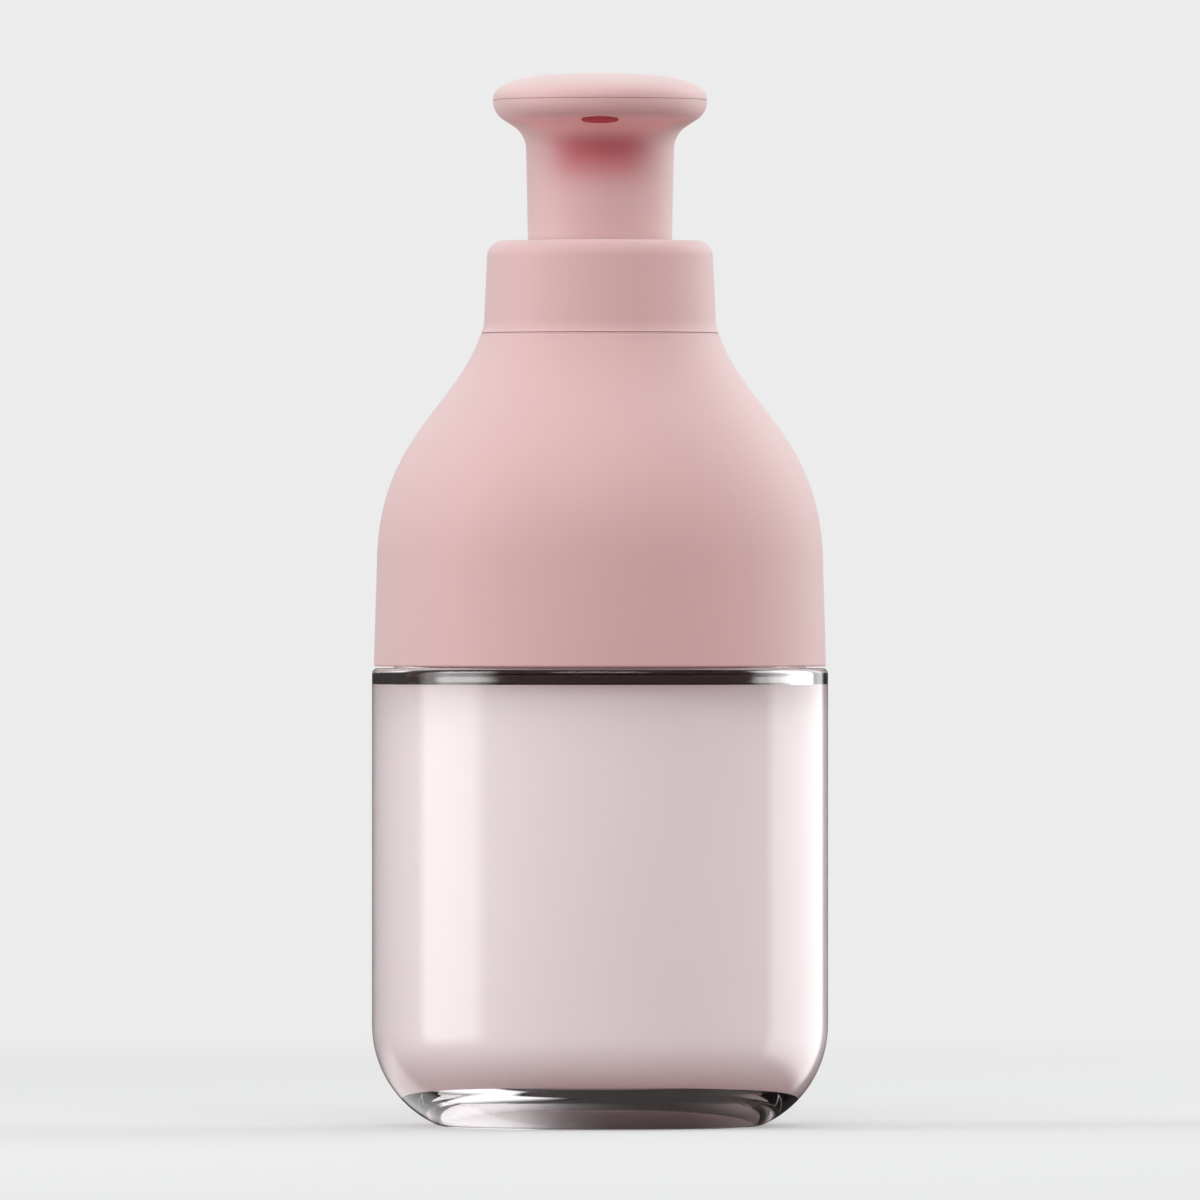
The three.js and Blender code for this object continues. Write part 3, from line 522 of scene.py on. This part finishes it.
def pink_finish(place, lit=None):
    """Soft-touch moulded plastic whose pink drifts a little over centimetres, with a fine grain
    and a pale velvety haze on it. With a share lit, painted light makes it paler where that is
    high."""
    drift = noise(place, 30 * MM, 2)
    tint = between(drift, colour(192, 138, 137), colour(197, 143, 142))
    # painted light: the pink is painted paler where the share lit is high
    if lit is not None:
        tint = between(lit, tint, colour(250, 172, 171))
    grain = noise(place, GRAIN, 3)
    return place.node(
        "ShaderNodeBsdfPrincipled",
        {},
        {
            "Base Color": tint,
            "Roughness": 0.5 + 0.1 * grain,
            "Sheen Weight": 0.65,
            "Sheen Roughness": 1,
            "Normal": bumped(grain, 0.02 * MM, 0.25),
        },
    )


def spout_finish_painted_light_and_shade(place):
    """The pump's pink with painted light and painted shade: painted paler on the floor of the
    spout, going over to a bare, painted deeper pink shade in the hollow under it, and to a painted
    deep red shade in the nozzle, by the distance from the line of its axis."""
    y, z, lean = nozzle_place()
    axis = (0, np.sin(lean), np.cos(lean))
    offset = place.node("ShaderNodeVectorMath", {"operation": "SUBTRACT"}, {0: place, 1: (0, y, z)})
    arm = place.node("ShaderNodeVectorMath", {"operation": "CROSS_PRODUCT"}, {0: offset, 1: axis})
    away = place.node("ShaderNodeVectorMath", {"operation": "LENGTH"}, {0: arm}, "Value")
    mouth = NOZZLE_RADIUS + 2 * NOZZLE_EDGE
    # painted shade: share inside the nozzle's bore, which is painted deep red
    inside = eased(away, mouth + NOZZLE_EDGE, mouth)
    side = part_of(place, "X")
    level = part_of(place, "Z")
    shade_fullest_level = z - PAINTED_SHADE_DEPTH
    front = eased(part_of(place, "Y"), -PAINTED_SHADING_FRONT, -STEM_RADIUS)
    deep = eased(level, z - PAINTED_SHADE_START, shade_fullest_level)
    # painted light on the spout's floor, and painted shade in the hollow under it
    lit = front * eased(level, z + PAINTED_LIGHT_RISE, z) * (1 - deep)
    hollow = front * deep * eased(level, z - PAINTED_SHADE_DROP, shade_fullest_level)
    hollow = hollow * eased(side * side, PAINTED_SHADE_REACH**2, PAINTED_SHADE_CORE**2)
    grain = noise(place, GRAIN, 3)
    # painted shade: a pink without sheen, painted deeper in the hollow and deep red in the bore
    bare = place.node(
        "ShaderNodeBsdfPrincipled",
        {},
        {
            "Base Color": between(inside, colour(206, 116, 123), colour(198, 66, 82)),
            "Roughness": 0.5 + 0.1 * grain,
        },
    )
    share = place.math("MAXIMUM", hollow, inside)
    return place.node("ShaderNodeMixShader", {}, {0: share, 1: pink_finish(place, lit), 2: bare})


def clear_finish(place):
    """Thick clear plastic, polished outside, with faint smears in its gloss. Shadow rays and
    diffuse rays pass it straight, so that the contents are lit."""
    smear = noise(place, 12 * MM, 3)
    body = place.node(
        "ShaderNodeBsdfPrincipled",
        {},
        {
            "Base Color": (0.985, 0.98, 0.98, 1),
            "Roughness": 0.01 + 0.02 * smear,
            "IOR": 1.49,
            "Transmission Weight": 1,
        },
    )
    shadow = place.node("ShaderNodeLightPath", {}, {}, "Is Shadow Ray")
    diffuse = place.node("ShaderNodeLightPath", {}, {}, "Is Diffuse Ray")
    open_way = place.node("ShaderNodeBsdfTransparent", {}, {"Color": (0.97, 0.965, 0.965, 1)})
    passing = place.math("MAXIMUM", shadow, diffuse)
    return place.node("ShaderNodeMixShader", {}, {0: passing, 1: body, 2: open_way})


def wash_finish(place):
    """Milky wash with a faint pearl swirl. Light scatters far in it, but not at its rim, where a
    film of it lies on the wall."""
    swirl = noise(place, 18 * MM, 3, (1, 1, 2))
    skin = {
        "Base Color": between(swirl, colour(239, 234, 236), colour(243, 239, 241)),
        "Roughness": 0.35 + 0.1 * swirl,
    }
    scatter = {
        "Subsurface Weight": 1,
        "Subsurface Radius": (1, 0.95, 0.95),
        "Subsurface Scale": 6 * MM,
    }
    deep = place.node("ShaderNodeBsdfPrincipled", {}, {**skin, **scatter})
    film = place.node("ShaderNodeBsdfPrincipled", {}, skin)
    share = eased(part_of(place, "Z"), WASH_TOP - RIM_FADE, WASH_TOP)
    return place.node("ShaderNodeMixShader", {}, {0: share, 1: deep, 2: film})


def rubber_finish(place):
    """Dark rubber with a wet, slightly uneven skin."""
    bloom = noise(place, 4 * MM, 4)
    grain = noise(place, 0.2 * MM, 2)
    return place.node(
        "ShaderNodeBsdfPrincipled",
        {},
        {
            "Base Color": between(bloom, colour(68, 56, 55), colour(80, 68, 66)),
            "Roughness": 0.1 + 0.1 * grain,
            "IOR": 1.9,
            "Normal": bumped(grain, 0.02 * MM, 0.3),
        },
    )


def natural_finish(place):
    """Uncoloured moulded plastic, a little cloudy."""
    cloud = noise(place, 8 * MM, 3)
    return place.node(
        "ShaderNodeBsdfPrincipled",
        {},
        {
            "Base Color": between(cloud, colour(228, 226, 220), colour(240, 239, 235)),
            "Roughness": 0.35 + 0.15 * cloud,
            "Subsurface Weight": 0.3,
            "Subsurface Radius": (1, 0.95, 0.85),
            "Subsurface Scale": 2 * MM,
        },
    )


def steel_finish(place):
    """Drawn steel with fine lengthwise streaks."""
    streak = noise(place, 0.4 * MM, 3, (1, 1, 0.3))
    return place.node(
        "ShaderNodeBsdfPrincipled",
        {},
        {
            "Base Color": between(streak, colour(176, 178, 182), colour(206, 208, 211)),
            "Metallic": 1,
            "Roughness": 0.2 + 0.2 * streak,
        },
    )


pink = material("pink_plastic", pink_finish)
# the spout's pink carries painted light and painted shade
spout_pink_painted_shade = material("spout_plastic_painted_shade", spout_finish_painted_light_and_shade)
clear = material("clear_plastic", clear_finish)
milk = material("body_wash", wash_finish)
rubber = material("rubber", rubber_finish)
natural = material("natural_plastic", natural_finish)
steel = material("steel", steel_finish)


def vessel():
    """Thick clear beaker with a dished foot, a ledge under the shoulder and a threaded mouth.

    The dish is a parabola: its height falls with the square of the radius.
    """
    share = np.linspace(0, 1, DISH_ROWS + 1)
    radius = FOOT_RADIUS - FOOT_WIDTH
    dish = np.stack((radius * share, FOOT_DISH * (1 - share**2)), axis=-1)
    base_bend = (VESSEL_RADIUS - FOOT_RADIUS) / np.tan(BASE_LEAN)
    mouth = VESSEL_BORE + MOUTH_WALL
    outline = rounded(
        [
            *curve_corners(dish),
            (FOOT_RADIUS, 0, FOOT_EDGE),
            (VESSEL_RADIUS, base_bend, BASE_CORNER),
            (VESSEL_RADIUS, LEDGE, LEDGE_CORNER),
            (mouth, LEDGE, RIM_CORNER),
            (mouth, MOUTH_TOP, RIM_CORNER),
            (VESSEL_BORE, MOUTH_TOP, RIM_CORNER),
            (VESSEL_BORE, VESSEL_FLOOR, FLOOR_CORNER),
            (0, VESSEL_FLOOR, 0),
        ]
    )
    body = object_of("clear_vessel", turned(outline))
    ridge = object_of("mouth_thread", helix_ridge(mouth, MOUTH_THREAD_LEVEL, 0, THREAD_TURNS, 1))
    placed(combined(body, "UNION", ridge), "jar", "clear_plastic", clear, "vessel")


def body_wash():
    """Contents up to the plug, climbing the wall a little, with the dip tube's room in them.

    They wet the floor, the wall and the upper part of the corner, where their skin lies in the
    plastic. The lower part of the corner shines like a mirror, because a thin gap lies there.
    """
    wall = VESSEL_BORE + CONTACT
    centre = (VESSEL_BORE - FLOOR_CORNER, VESSEL_FLOOR + FLOOR_CORNER)
    floor_level = VESSEL_FLOOR - CONTACT
    wetted = arc(centre, FLOOR_CORNER + CONTACT, WETTED_ANGLE, 0)
    dry = arc(centre, FLOOR_CORNER - SEAT, np.pi / 2, WETTED_ANGLE + DRYING_ANGLE)
    outline = rounded(
        [
            (0, floor_level, 0),
            (centre[0] - SEAT, floor_level, 0),
            *curve_corners(dry),
            *curve_corners(wetted),
            (wall, WASH_TOP + MENISCUS, 0),
            (wall - MENISCUS_WIDTH, WASH_TOP, MENISCUS_WIDTH),
            (TUBE_ROOM, WASH_TOP, 0),
            (TUBE_ROOM, TUBE_ROOM_FOOT, 0),
            (0, TUBE_ROOM_FOOT, 0),
        ]
    )
    placed(object_of("milky_wash", turned(outline)), "jar", "body_wash", milk, "body_wash")


def mouth_plug():
    """Plug that hangs in the mouth: a flange on the rim and two lips that hold the seal."""
    foot = foot_of("plug_insert")
    top = top_of("plug_insert")
    flange = radius_of("plug_insert")
    lower_lip = VESSEL_BORE - LOWER_LIP_GAP
    upper_lip = VESSEL_BORE - UPPER_LIP_GAP
    wall = radius_of("bore_seal") - SEAL_SECTION - SEAT
    seal_top = SEAL_TOP + SEAT
    lip_top = top_of("bore_seal") + PLUG_LIP
    outline = rounded(
        [
            (wall - PLUG_WALL, foot, SMALL_CORNER),
            (lower_lip, foot, SMALL_CORNER),
            (lower_lip, foot + PLUG_LIP, SMALL_CORNER),
            (wall, foot + PLUG_LIP, 0),
            (wall, seal_top, 0),
            (upper_lip, seal_top, SMALL_CORNER),
            (upper_lip, lip_top, SMALL_CORNER),
            (wall, lip_top, 0),
            (wall, top - PLUG_FLANGE, SMALL_CORNER),
            (flange, top - PLUG_FLANGE, SMALL_CORNER),
            (flange, top, SMALL_CORNER),
            (wall - PLUG_WALL, top, SMALL_CORNER),
        ],
        closed=True,
    )
    made = object_of("mouth_plug", turned(outline), closed_rows=True)
    placed(made, "plug", "pink_plastic", pink, "plug_insert")


def mouth_seal():
    """Dark rubber ring that seals the plug in the vessel's bore."""
    foot = foot_of("bore_seal")
    rim = radius_of("bore_seal")
    bore = rim - SEAL_SECTION
    outline = rounded(
        [
            (bore, foot, SMALL_CORNER),
            (rim, foot, SEAL_CORNER),
            (rim, SEAL_TOP, SEAL_CORNER),
            (bore, SEAL_TOP, SMALL_CORNER),
        ],
        closed=True,
    )
    made = object_of("mouth_seal", turned(outline), closed_rows=True)
    placed(made, "plug", "rubber", rubber, "bore_seal")


def shoulder():
    """Bell-shaped cover: a nearly straight belt, a soft bell curve, and the neck for the pump."""
    belt = SKIRT_RADIUS - BELT_DRAFT
    belt_level = SKIRT_FOOT + BELT_HEIGHT
    neck_foot = COLLAR_FOOT - SEAM
    neck_bore = NECK_RADIUS - NECK_WALL
    thread_root = SKIRT_RADIUS - SKIRT_WALL
    outside = bell_curve((COLLAR_FLARED, neck_foot), (belt, belt_level))
    inside = bell_curve(
        (COLLAR_FLARED - SHOULDER_WALL, neck_foot - NECK_SHELF), (belt - SHOULDER_WALL, belt_level)
    )
    outline = rounded(
        [
            (thread_root, SKIRT_FOOT, COVER_CORNER),
            (SKIRT_RADIUS, SKIRT_FOOT, COVER_CORNER),
            *curve_corners(outside[:0:-1]),
            (COLLAR_FLARED, neck_foot, SMALL_CORNER),
            (COLLAR_FLARED - SEAM_DEPTH, neck_foot, 0),
            (COLLAR_FLARED - SEAM_DEPTH, neck_foot + SEAM_LIP, LIP_CORNER),
            (NECK_RADIUS, neck_foot + SEAM_LIP, COVER_CORNER),
            (NECK_RADIUS, NECK_TOP, RIM_CORNER),
            (neck_bore, NECK_TOP, RIM_CORNER),
            (neck_bore, neck_foot - NECK_SHELF, COVER_CORNER),
            *curve_corners(inside),
            (thread_root - LAND_WIDTH, LAND_LEVEL + LAND_HEIGHT, COVER_CORNER),
            (thread_root - LAND_WIDTH, LAND_LEVEL, COVER_CORNER),
            (thread_root, LAND_LEVEL, COVER_CORNER),
        ],
        closed=True,
    )
    level = neck_foot + (NECK_TOP - neck_foot - THREAD_PITCH * THREAD_TURNS) / 2
    body = object_of("bell_shoulder", turned(outline), closed_rows=True)
    neck_ridge = object_of("neck_thread", helix_ridge(NECK_RADIUS, level, 0, THREAD_TURNS, 1))
    skirt_level = MOUTH_THREAD_LEVEL + THREAD_PITCH * (THREAD_LAG - THREAD_MESH)
    skirt_turns = THREAD_TURNS - THREAD_FADE
    skirt_ridge = object_of(
        "skirt_thread", helix_ridge(thread_root, skirt_level, THREAD_LAG, skirt_turns, -1)
    )
    combined(body, "UNION", neck_ridge, skirt_ridge)
    placed(body, "shoulder", "pink_plastic", pink, "shoulder")


def collar():
    """Round-edged collar that tapers upwards and flares a little where it meets the shoulder."""
    side = COLLAR_FLARED - COLLAR_FLARE
    top_radius = side - COLLAR_DRAFT
    hole = STEM_RADIUS + SLIP
    flare = np.linspace(0, 1, ARC_ROWS + 1)[1:, None]
    start = np.array((COLLAR_FLARED, COLLAR_FOOT))
    bend = np.array((side, COLLAR_FOOT + COLLAR_FLARE_HEIGHT / 3))
    end = np.array((side, COLLAR_FOOT + COLLAR_FLARE_HEIGHT))
    foot_curve = (1 - flare) ** 2 * start + 2 * flare * (1 - flare) * bend + flare**2 * end
    outline = rounded(
        [
            (COLLAR_BORE, COLLAR_FOOT, SMALL_CORNER),
            (COLLAR_FLARED, COLLAR_FOOT, SMALL_CORNER),
            *curve_corners(foot_curve),
            (top_radius, COLLAR_TOP, COLLAR_CORNER),
            (hole, COLLAR_TOP, COLLAR_HOLE_CORNER),
            (hole, COLLAR_TOP - COLLAR_PLATE, SMALL_CORNER),
            (COLLAR_BORE, COLLAR_TOP - COLLAR_PLATE, SMALL_CORNER),
        ],
        closed=True,
    )
    made = object_of("pump_collar", turned(outline), closed_rows=True)
    placed(made, "collar", "pink_plastic", pink, "collar_cover")


def shell_outline(brim, fillet, roll, lean):
    """Outline of the head under its seam: stem, hollow fillet, leaning straight and rolled brim,
    and the inner skin at HEAD_WALL inside it."""
    half = np.tan(lean / 2)
    rise = (brim - STEM_RADIUS) / np.tan(lean)
    roll_level = HEAD_SEAM - roll * half
    rim = HEAD_SEAM - SEAM / 2
    inner_brim = brim - HEAD_WALL
    inner_stem = STEM_RADIUS - HEAD_WALL
    slide = HEAD_WALL * half
    return rounded(
        [
            (STEM_BORE, STEM_FOOT, SMALL_CORNER),
            (STEM_RADIUS - STEM_TAPER, STEM_FOOT, COVER_CORNER),
            (STEM_RADIUS, roll_level - rise, fillet),
            (brim, roll_level, roll),
            (brim, rim, LIP_CORNER),
            (brim - SEAM_DEPTH, rim, 0),
            (brim - SEAM_DEPTH, rim + SEAM_LIP, LIP_CORNER),
            (inner_brim, rim + SEAM_LIP, LIP_CORNER),
            (inner_brim, roll_level + slide, roll - HEAD_WALL),
            (inner_stem, roll_level - rise + slide, fillet + HEAD_WALL),
            (inner_stem, STEM_LEDGE, 0),
            (STEM_BORE, STEM_LEDGE, 0),
        ],
        closed=True,
    )


def head_shell():
    """Lower half of the pump head: round stem, flare, and a brim that reaches out to a spout
    with the nozzle hole in its floor."""
    side = shell_outline(HEAD_RADIUS, SIDE_FILLET, SIDE_ROLL, SIDE_LEAN)
    front = shell_outline(SPOUT_RADIUS, FRONT_FILLET, FRONT_ROLL, FRONT_LEAN)
    body = object_of("head_shell", turned(side, front), closed_rows=True)
    combined(body, "DIFFERENCE", nozzle_bore())
    placed(body, "head", "pink_plastic", spout_pink_painted_shade, "actuator_shell")


def nozzle_bore():
    """Bore with an eased mouth, square to the floor of the spout: a turned outline, leaned back
    and moved to its place."""
    outline = rounded(
        [
            (0, -NOZZLE_EDGE, 0),
            (NOZZLE_RADIUS + 2 * NOZZLE_EDGE, -NOZZLE_EDGE, 0),
            (NOZZLE_RADIUS, NOZZLE_EDGE, NOZZLE_EDGE),
            (NOZZLE_RADIUS, NOZZLE_DEPTH, 0),
            (0, NOZZLE_DEPTH, 0),
        ]
    )
    grid = turned(outline)
    y_place, z_place, lean = nozzle_place()
    y = grid[..., 1] * np.cos(lean) + grid[..., 2] * np.sin(lean) + y_place
    z = grid[..., 2] * np.cos(lean) - grid[..., 1] * np.sin(lean) + z_place
    return object_of("nozzle_bore", np.stack((grid[..., 0], y, z), axis=-1))


def dome(rim, radius, height):
    """Rounded-square dome from its rim inwards: z rises by height * (1 - (r / radius)^p)^(1/p).

    The points turn an angle t from the rim to the top, with r = radius * cos(t)^(2/p).
    """
    foot = HEAD_SEAM + SEAM / 2
    start = np.arccos((rim / radius) ** (DOME_POWER / 2))
    t = np.linspace(start, np.pi / 2, DOME_ROWS)
    r = radius * np.maximum(np.cos(t), 0) ** (2 / DOME_POWER)
    r[-1] = 0
    z = foot + height * (1 - (r / radius) ** DOME_POWER) ** (1 / DOME_POWER)
    return np.stack((r, z), axis=-1)


def cap_outline(brim):
    """Outline of the head's dome with the tongue that locates it in the shell."""
    foot = HEAD_SEAM + SEAM / 2
    height = HEAD_TOP - foot
    tongue = brim - HEAD_WALL - TONGUE_GAP
    outside = dome(brim, brim, height)
    inside = dome(tongue - TONGUE_WALL, brim - HEAD_WALL, height - DOME_WALL)
    return rounded(
        [
            *curve_corners(inside[::-1]),
            (tongue - TONGUE_WALL, TONGUE_FOOT, SMALL_CORNER),
            (tongue, TONGUE_FOOT, SMALL_CORNER),
            (tongue, foot, 0),
            (brim, foot, LIP_CORNER),
            *curve_corners(outside[1:]),
        ]
    )


def head_cap():
    """Domed upper half of the pump head, where the palm presses."""
    grid = turned(cap_outline(HEAD_RADIUS), cap_outline(SPOUT_RADIUS))
    placed(object_of("head_cap", grid), "head", "pink_plastic", pink, "actuator_top")


def return_spring():
    """Steel spring between the chaplet and the head's plate, drawn in one shape; the real one
    shortens as the head goes down.
    """
    low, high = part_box("return_spring")
    foot = low[2] + SPRING_WIRE / 2
    height = high[2] - low[2]
    grid = coil(high[0] - SPRING_WIRE / 2, foot, height - SPRING_WIRE)
    made = object_of("wound_spring", grid)
    placed(made, "pump", "steel", steel, "return_spring")
    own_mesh(made)


vessel()
body_wash()
mouth_plug()
mouth_seal()
shoulder()
collar()
head_shell()
head_cap()
return_spring()

# Inner pieces keep their CAD shape
INNER_FINISHES = {
    "neck_gasket": rubber,
    "pump_housing": natural,
    "chaplet": natural,
    "dip_tube": natural,
    "ball_cage": natural,
    "closure": natural,
    "piston_seal": natural,
    "stem": natural,
    "inlet_ball": steel,
    "outlet_ball": steel,
    "nozzle_duct": pink,
}
for node_name, finish in INNER_FINISHES.items():
    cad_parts[node_name].data.materials.clear()
    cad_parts[node_name].data.materials.append(finish)

# Photograph: how it frames the object
PHOTO_PIXELS = 1200
PIXELS_PER_METRE = 6080
BASE_ROW = 1126  # pixel row of the object's base
CAMERA_DISTANCE = 4.0
SENSOR = 36  # width of the film, in millimetres

# Studio
BLACK = (0, 0, 0, 1)
WHITE = (1, 1, 1, 1)
BACKGROUND = colour(236, 236, 236)
FLOOR_COLOUR = colour(217, 219, 219)
FLOOR_IN_BOUNCE = colour(162, 130, 130)
FLOOR_SIZE = 6.0
FLOOR_LEVEL = -0.1 * MM  # just under the foot, so that no two faces coincide
FLOOR_NEAR = 0.25  # the floor takes shadows up to here
FLOOR_FAR = 0.9  # and is as bright as the background from here on
SOFTBOX_DISTANCE = 0.9
SOFTBOX_FADE = 0.2  # width of the edge over which a softbox fades out
SOFTBOXES = {  # azimuth in degrees, width, level of the foot, height, brightness
    "left_softbox": (-81, 0.82, -0.27, 1.31, 3),
    "right_softbox": (123, 1.18, -0.44, 1.48, 2.4),
    "key_light": (0, 1.08, 0.56, 0.78, 5),
    "low_card": (-152, 0.78, -1.2, 1.15, 1.2),
}
FILL = 0.84  # brightness of the even light
FILL_TINT = (1, 0.98, 0.98, 1)
PAD_RADIUS = 25 * MM
PAD_LEFT = -13 * MM  # the pad glows on the left of here
PAD_RIGHT = 19 * MM  # and on the right of here
PAD_FADE = 4 * MM
PAD_GLOW = 1.6
PAD_RIGHT_SHARE = 0.3  # how bright its right part is against the left
CURTAIN_RADIUS = 1.5
CURTAIN_HEIGHT = 4.0
CURTAIN_DARK = colour(48, 45, 45)
CURTAIN_LIGHT = colour(68, 64, 64)


def floor():
    """Pale floor that takes the shadow near the object and melts into the background far off.
    It bounces a little light. Gloss and clear plastic show the dark room in its place."""
    corner = np.linspace(-FLOOR_SIZE / 2, FLOOR_SIZE / 2, 2)
    x, y = np.meshgrid(corner, corner)
    mesh = bpy.data.meshes.new("studio_floor")
    points = np.stack((x, y, 0 * x + FLOOR_LEVEL), axis=-1).reshape(-1, 3)
    mesh.from_pydata(points.tolist(), [], [(0, 1, 3, 2)])
    made = bpy.data.objects.new("studio_floor", mesh)
    bpy.context.scene.collection.objects.link(made)

    def paint(place):
        away = place.node("ShaderNodeVectorMath", {"operation": "LENGTH"}, {0: place}, "Value")
        share = eased(away, FLOOR_NEAR, FLOOR_FAR)
        near = place.node("ShaderNodeBsdfDiffuse", {}, {"Color": FLOOR_COLOUR})
        far = place.node("ShaderNodeEmission", {}, {"Color": BACKGROUND})
        pale = place.node("ShaderNodeMixShader", {}, {0: share, 1: near, 2: far})
        dark = place.node("ShaderNodeBsdfDiffuse", {}, {"Color": FLOOR_IN_BOUNCE})
        seen = place.node("ShaderNodeLightPath", {}, {}, "Is Camera Ray")
        return place.node("ShaderNodeMixShader", {}, {0: seen, 1: dark, 2: pale})

    mesh.materials.append(material("studio_floor", paint))
    made.visible_glossy = False
    made.visible_transmission = False


def light_pad():
    """Small glowing disc in the floor under the bottle. It lights the wash through the clear foot,
    most on the left and a little on the right, and only diffuse light sees it."""
    outline = np.array(((0, FLOOR_LEVEL / 2), (PAD_RADIUS, FLOOR_LEVEL / 2)))
    made = object_of("light_pad", turned(outline))

    def paint(place):
        across = part_of(place, "X")
        left = eased(across, PAD_LEFT + PAD_FADE, PAD_LEFT)
        right = eased(across, PAD_RIGHT, PAD_RIGHT + PAD_FADE)
        shade = between(left + PAD_RIGHT_SHARE * right, BLACK, WHITE)
        return place.node("ShaderNodeEmission", {}, {"Color": shade, "Strength": PAD_GLOW})

    made.data.materials.append(material("light_pad", paint))
    made.visible_camera = False
    made.visible_glossy = False
    made.visible_transmission = False
    made.visible_shadow = False


def curtain():
    """Dark room round the studio, which only gloss and clear plastic show: a drum about Z that
    is open at the top."""
    bottom = (CURTAIN_RADIUS, -CURTAIN_HEIGHT)
    corners = ((0, -CURTAIN_HEIGHT), bottom, (CURTAIN_RADIUS, CURTAIN_HEIGHT))
    made = object_of("studio_curtain", turned(np.array(corners)))

    def paint(place):
        fold = noise(place, 0.3, 1)
        shade = between(fold, CURTAIN_DARK, CURTAIN_LIGHT)
        return place.node("ShaderNodeEmission", {}, {"Color": shade})

    made.data.materials.append(material("studio_curtain", paint))
    made.visible_camera = False
    made.visible_diffuse = False
    made.visible_shadow = False


def surroundings():
    """World: the pale background where it is seen, mirrored or seen through glass, and a soft
    even light for the rest."""
    world = bpy.data.worlds.new("studio")
    world.use_nodes = True
    tree = world.node_tree
    tree.nodes.clear()
    start = Socket(tree)
    camera, glossy, through = (
        start.node("ShaderNodeLightPath", {}, {}, f"Is {kind} Ray")
        for kind in ("Camera", "Glossy", "Transmission")
    )
    seen = start.node("ShaderNodeBackground", {}, {"Color": BACKGROUND})
    light = start.node("ShaderNodeBackground", {}, {"Color": FILL_TINT, "Strength": FILL})
    share = start.math("MAXIMUM", camera, start.math("MAXIMUM", glossy, through))
    shader = start.node("ShaderNodeMixShader", {}, {0: share, 1: light, 2: seen})
    end = tree.nodes.new("ShaderNodeOutputWorld")
    tree.links.new(shader.link, end.inputs["Surface"])
    bpy.context.scene.world = world


def softbox(name, azimuth, width, foot, height, brightness):
    """Upright glowing panel that faces the bottle's axis and fades towards its edges.

    Azimuth is degrees to the right of the camera's place.
    """
    distance = SOFTBOX_DISTANCE
    corner = np.linspace(-0.5, 0.5, 2)
    x, z = np.meshgrid(corner * width, corner * height)
    mesh = bpy.data.meshes.new(name)
    points = np.stack((x, 0 * x, z), axis=-1).reshape(-1, 3)
    mesh.from_pydata(points.tolist(), [], [(0, 2, 3, 1)])
    made = bpy.data.objects.new(name, mesh)
    turn = np.radians(azimuth)
    made.location = (distance * np.sin(turn), -distance * np.cos(turn), foot + height / 2)
    made.rotation_euler = (0, 0, turn)

    def paint(place):
        glow = 1 - place.node("ShaderNodeNewGeometry", {}, {}, "Backfacing")
        for axis, half in (("X", width / 2), ("Z", height / 2)):
            away = place.math("ABSOLUTE", part_of(place, axis), 0)
            glow = glow * eased(away, half, half - SOFTBOX_FADE)
        shade = between(glow, BLACK, WHITE)
        return place.node("ShaderNodeEmission", {}, {"Color": shade, "Strength": brightness})

    mesh.materials.append(material(name, paint))
    made.visible_camera = False
    bpy.context.scene.collection.objects.link(made)
    return made


def camera():
    """Long lens at the height of the photograph's middle, level, straight in front."""
    lens = bpy.data.cameras.new("camera")
    lens.sensor_width = SENSOR
    lens.lens = SENSOR * CAMERA_DISTANCE * PIXELS_PER_METRE / PHOTO_PIXELS
    lens.clip_end = 2 * FLOOR_SIZE
    made = bpy.data.objects.new("camera", lens)
    made.location = (0, -CAMERA_DISTANCE, (BASE_ROW - PHOTO_PIXELS / 2) / PIXELS_PER_METRE)
    made.rotation_euler = (np.pi / 2, 0, 0)
    bpy.context.scene.collection.objects.link(made)
    bpy.context.scene.camera = made


floor()
light_pad()
curtain()
surroundings()
panels = {name: softbox(name, *sizes) for name, sizes in SOFTBOXES.items()}
panels["low_card"].visible_diffuse = False  # only the clear base shows it
camera()
bpy.context.scene.view_settings.view_transform = "Standard"
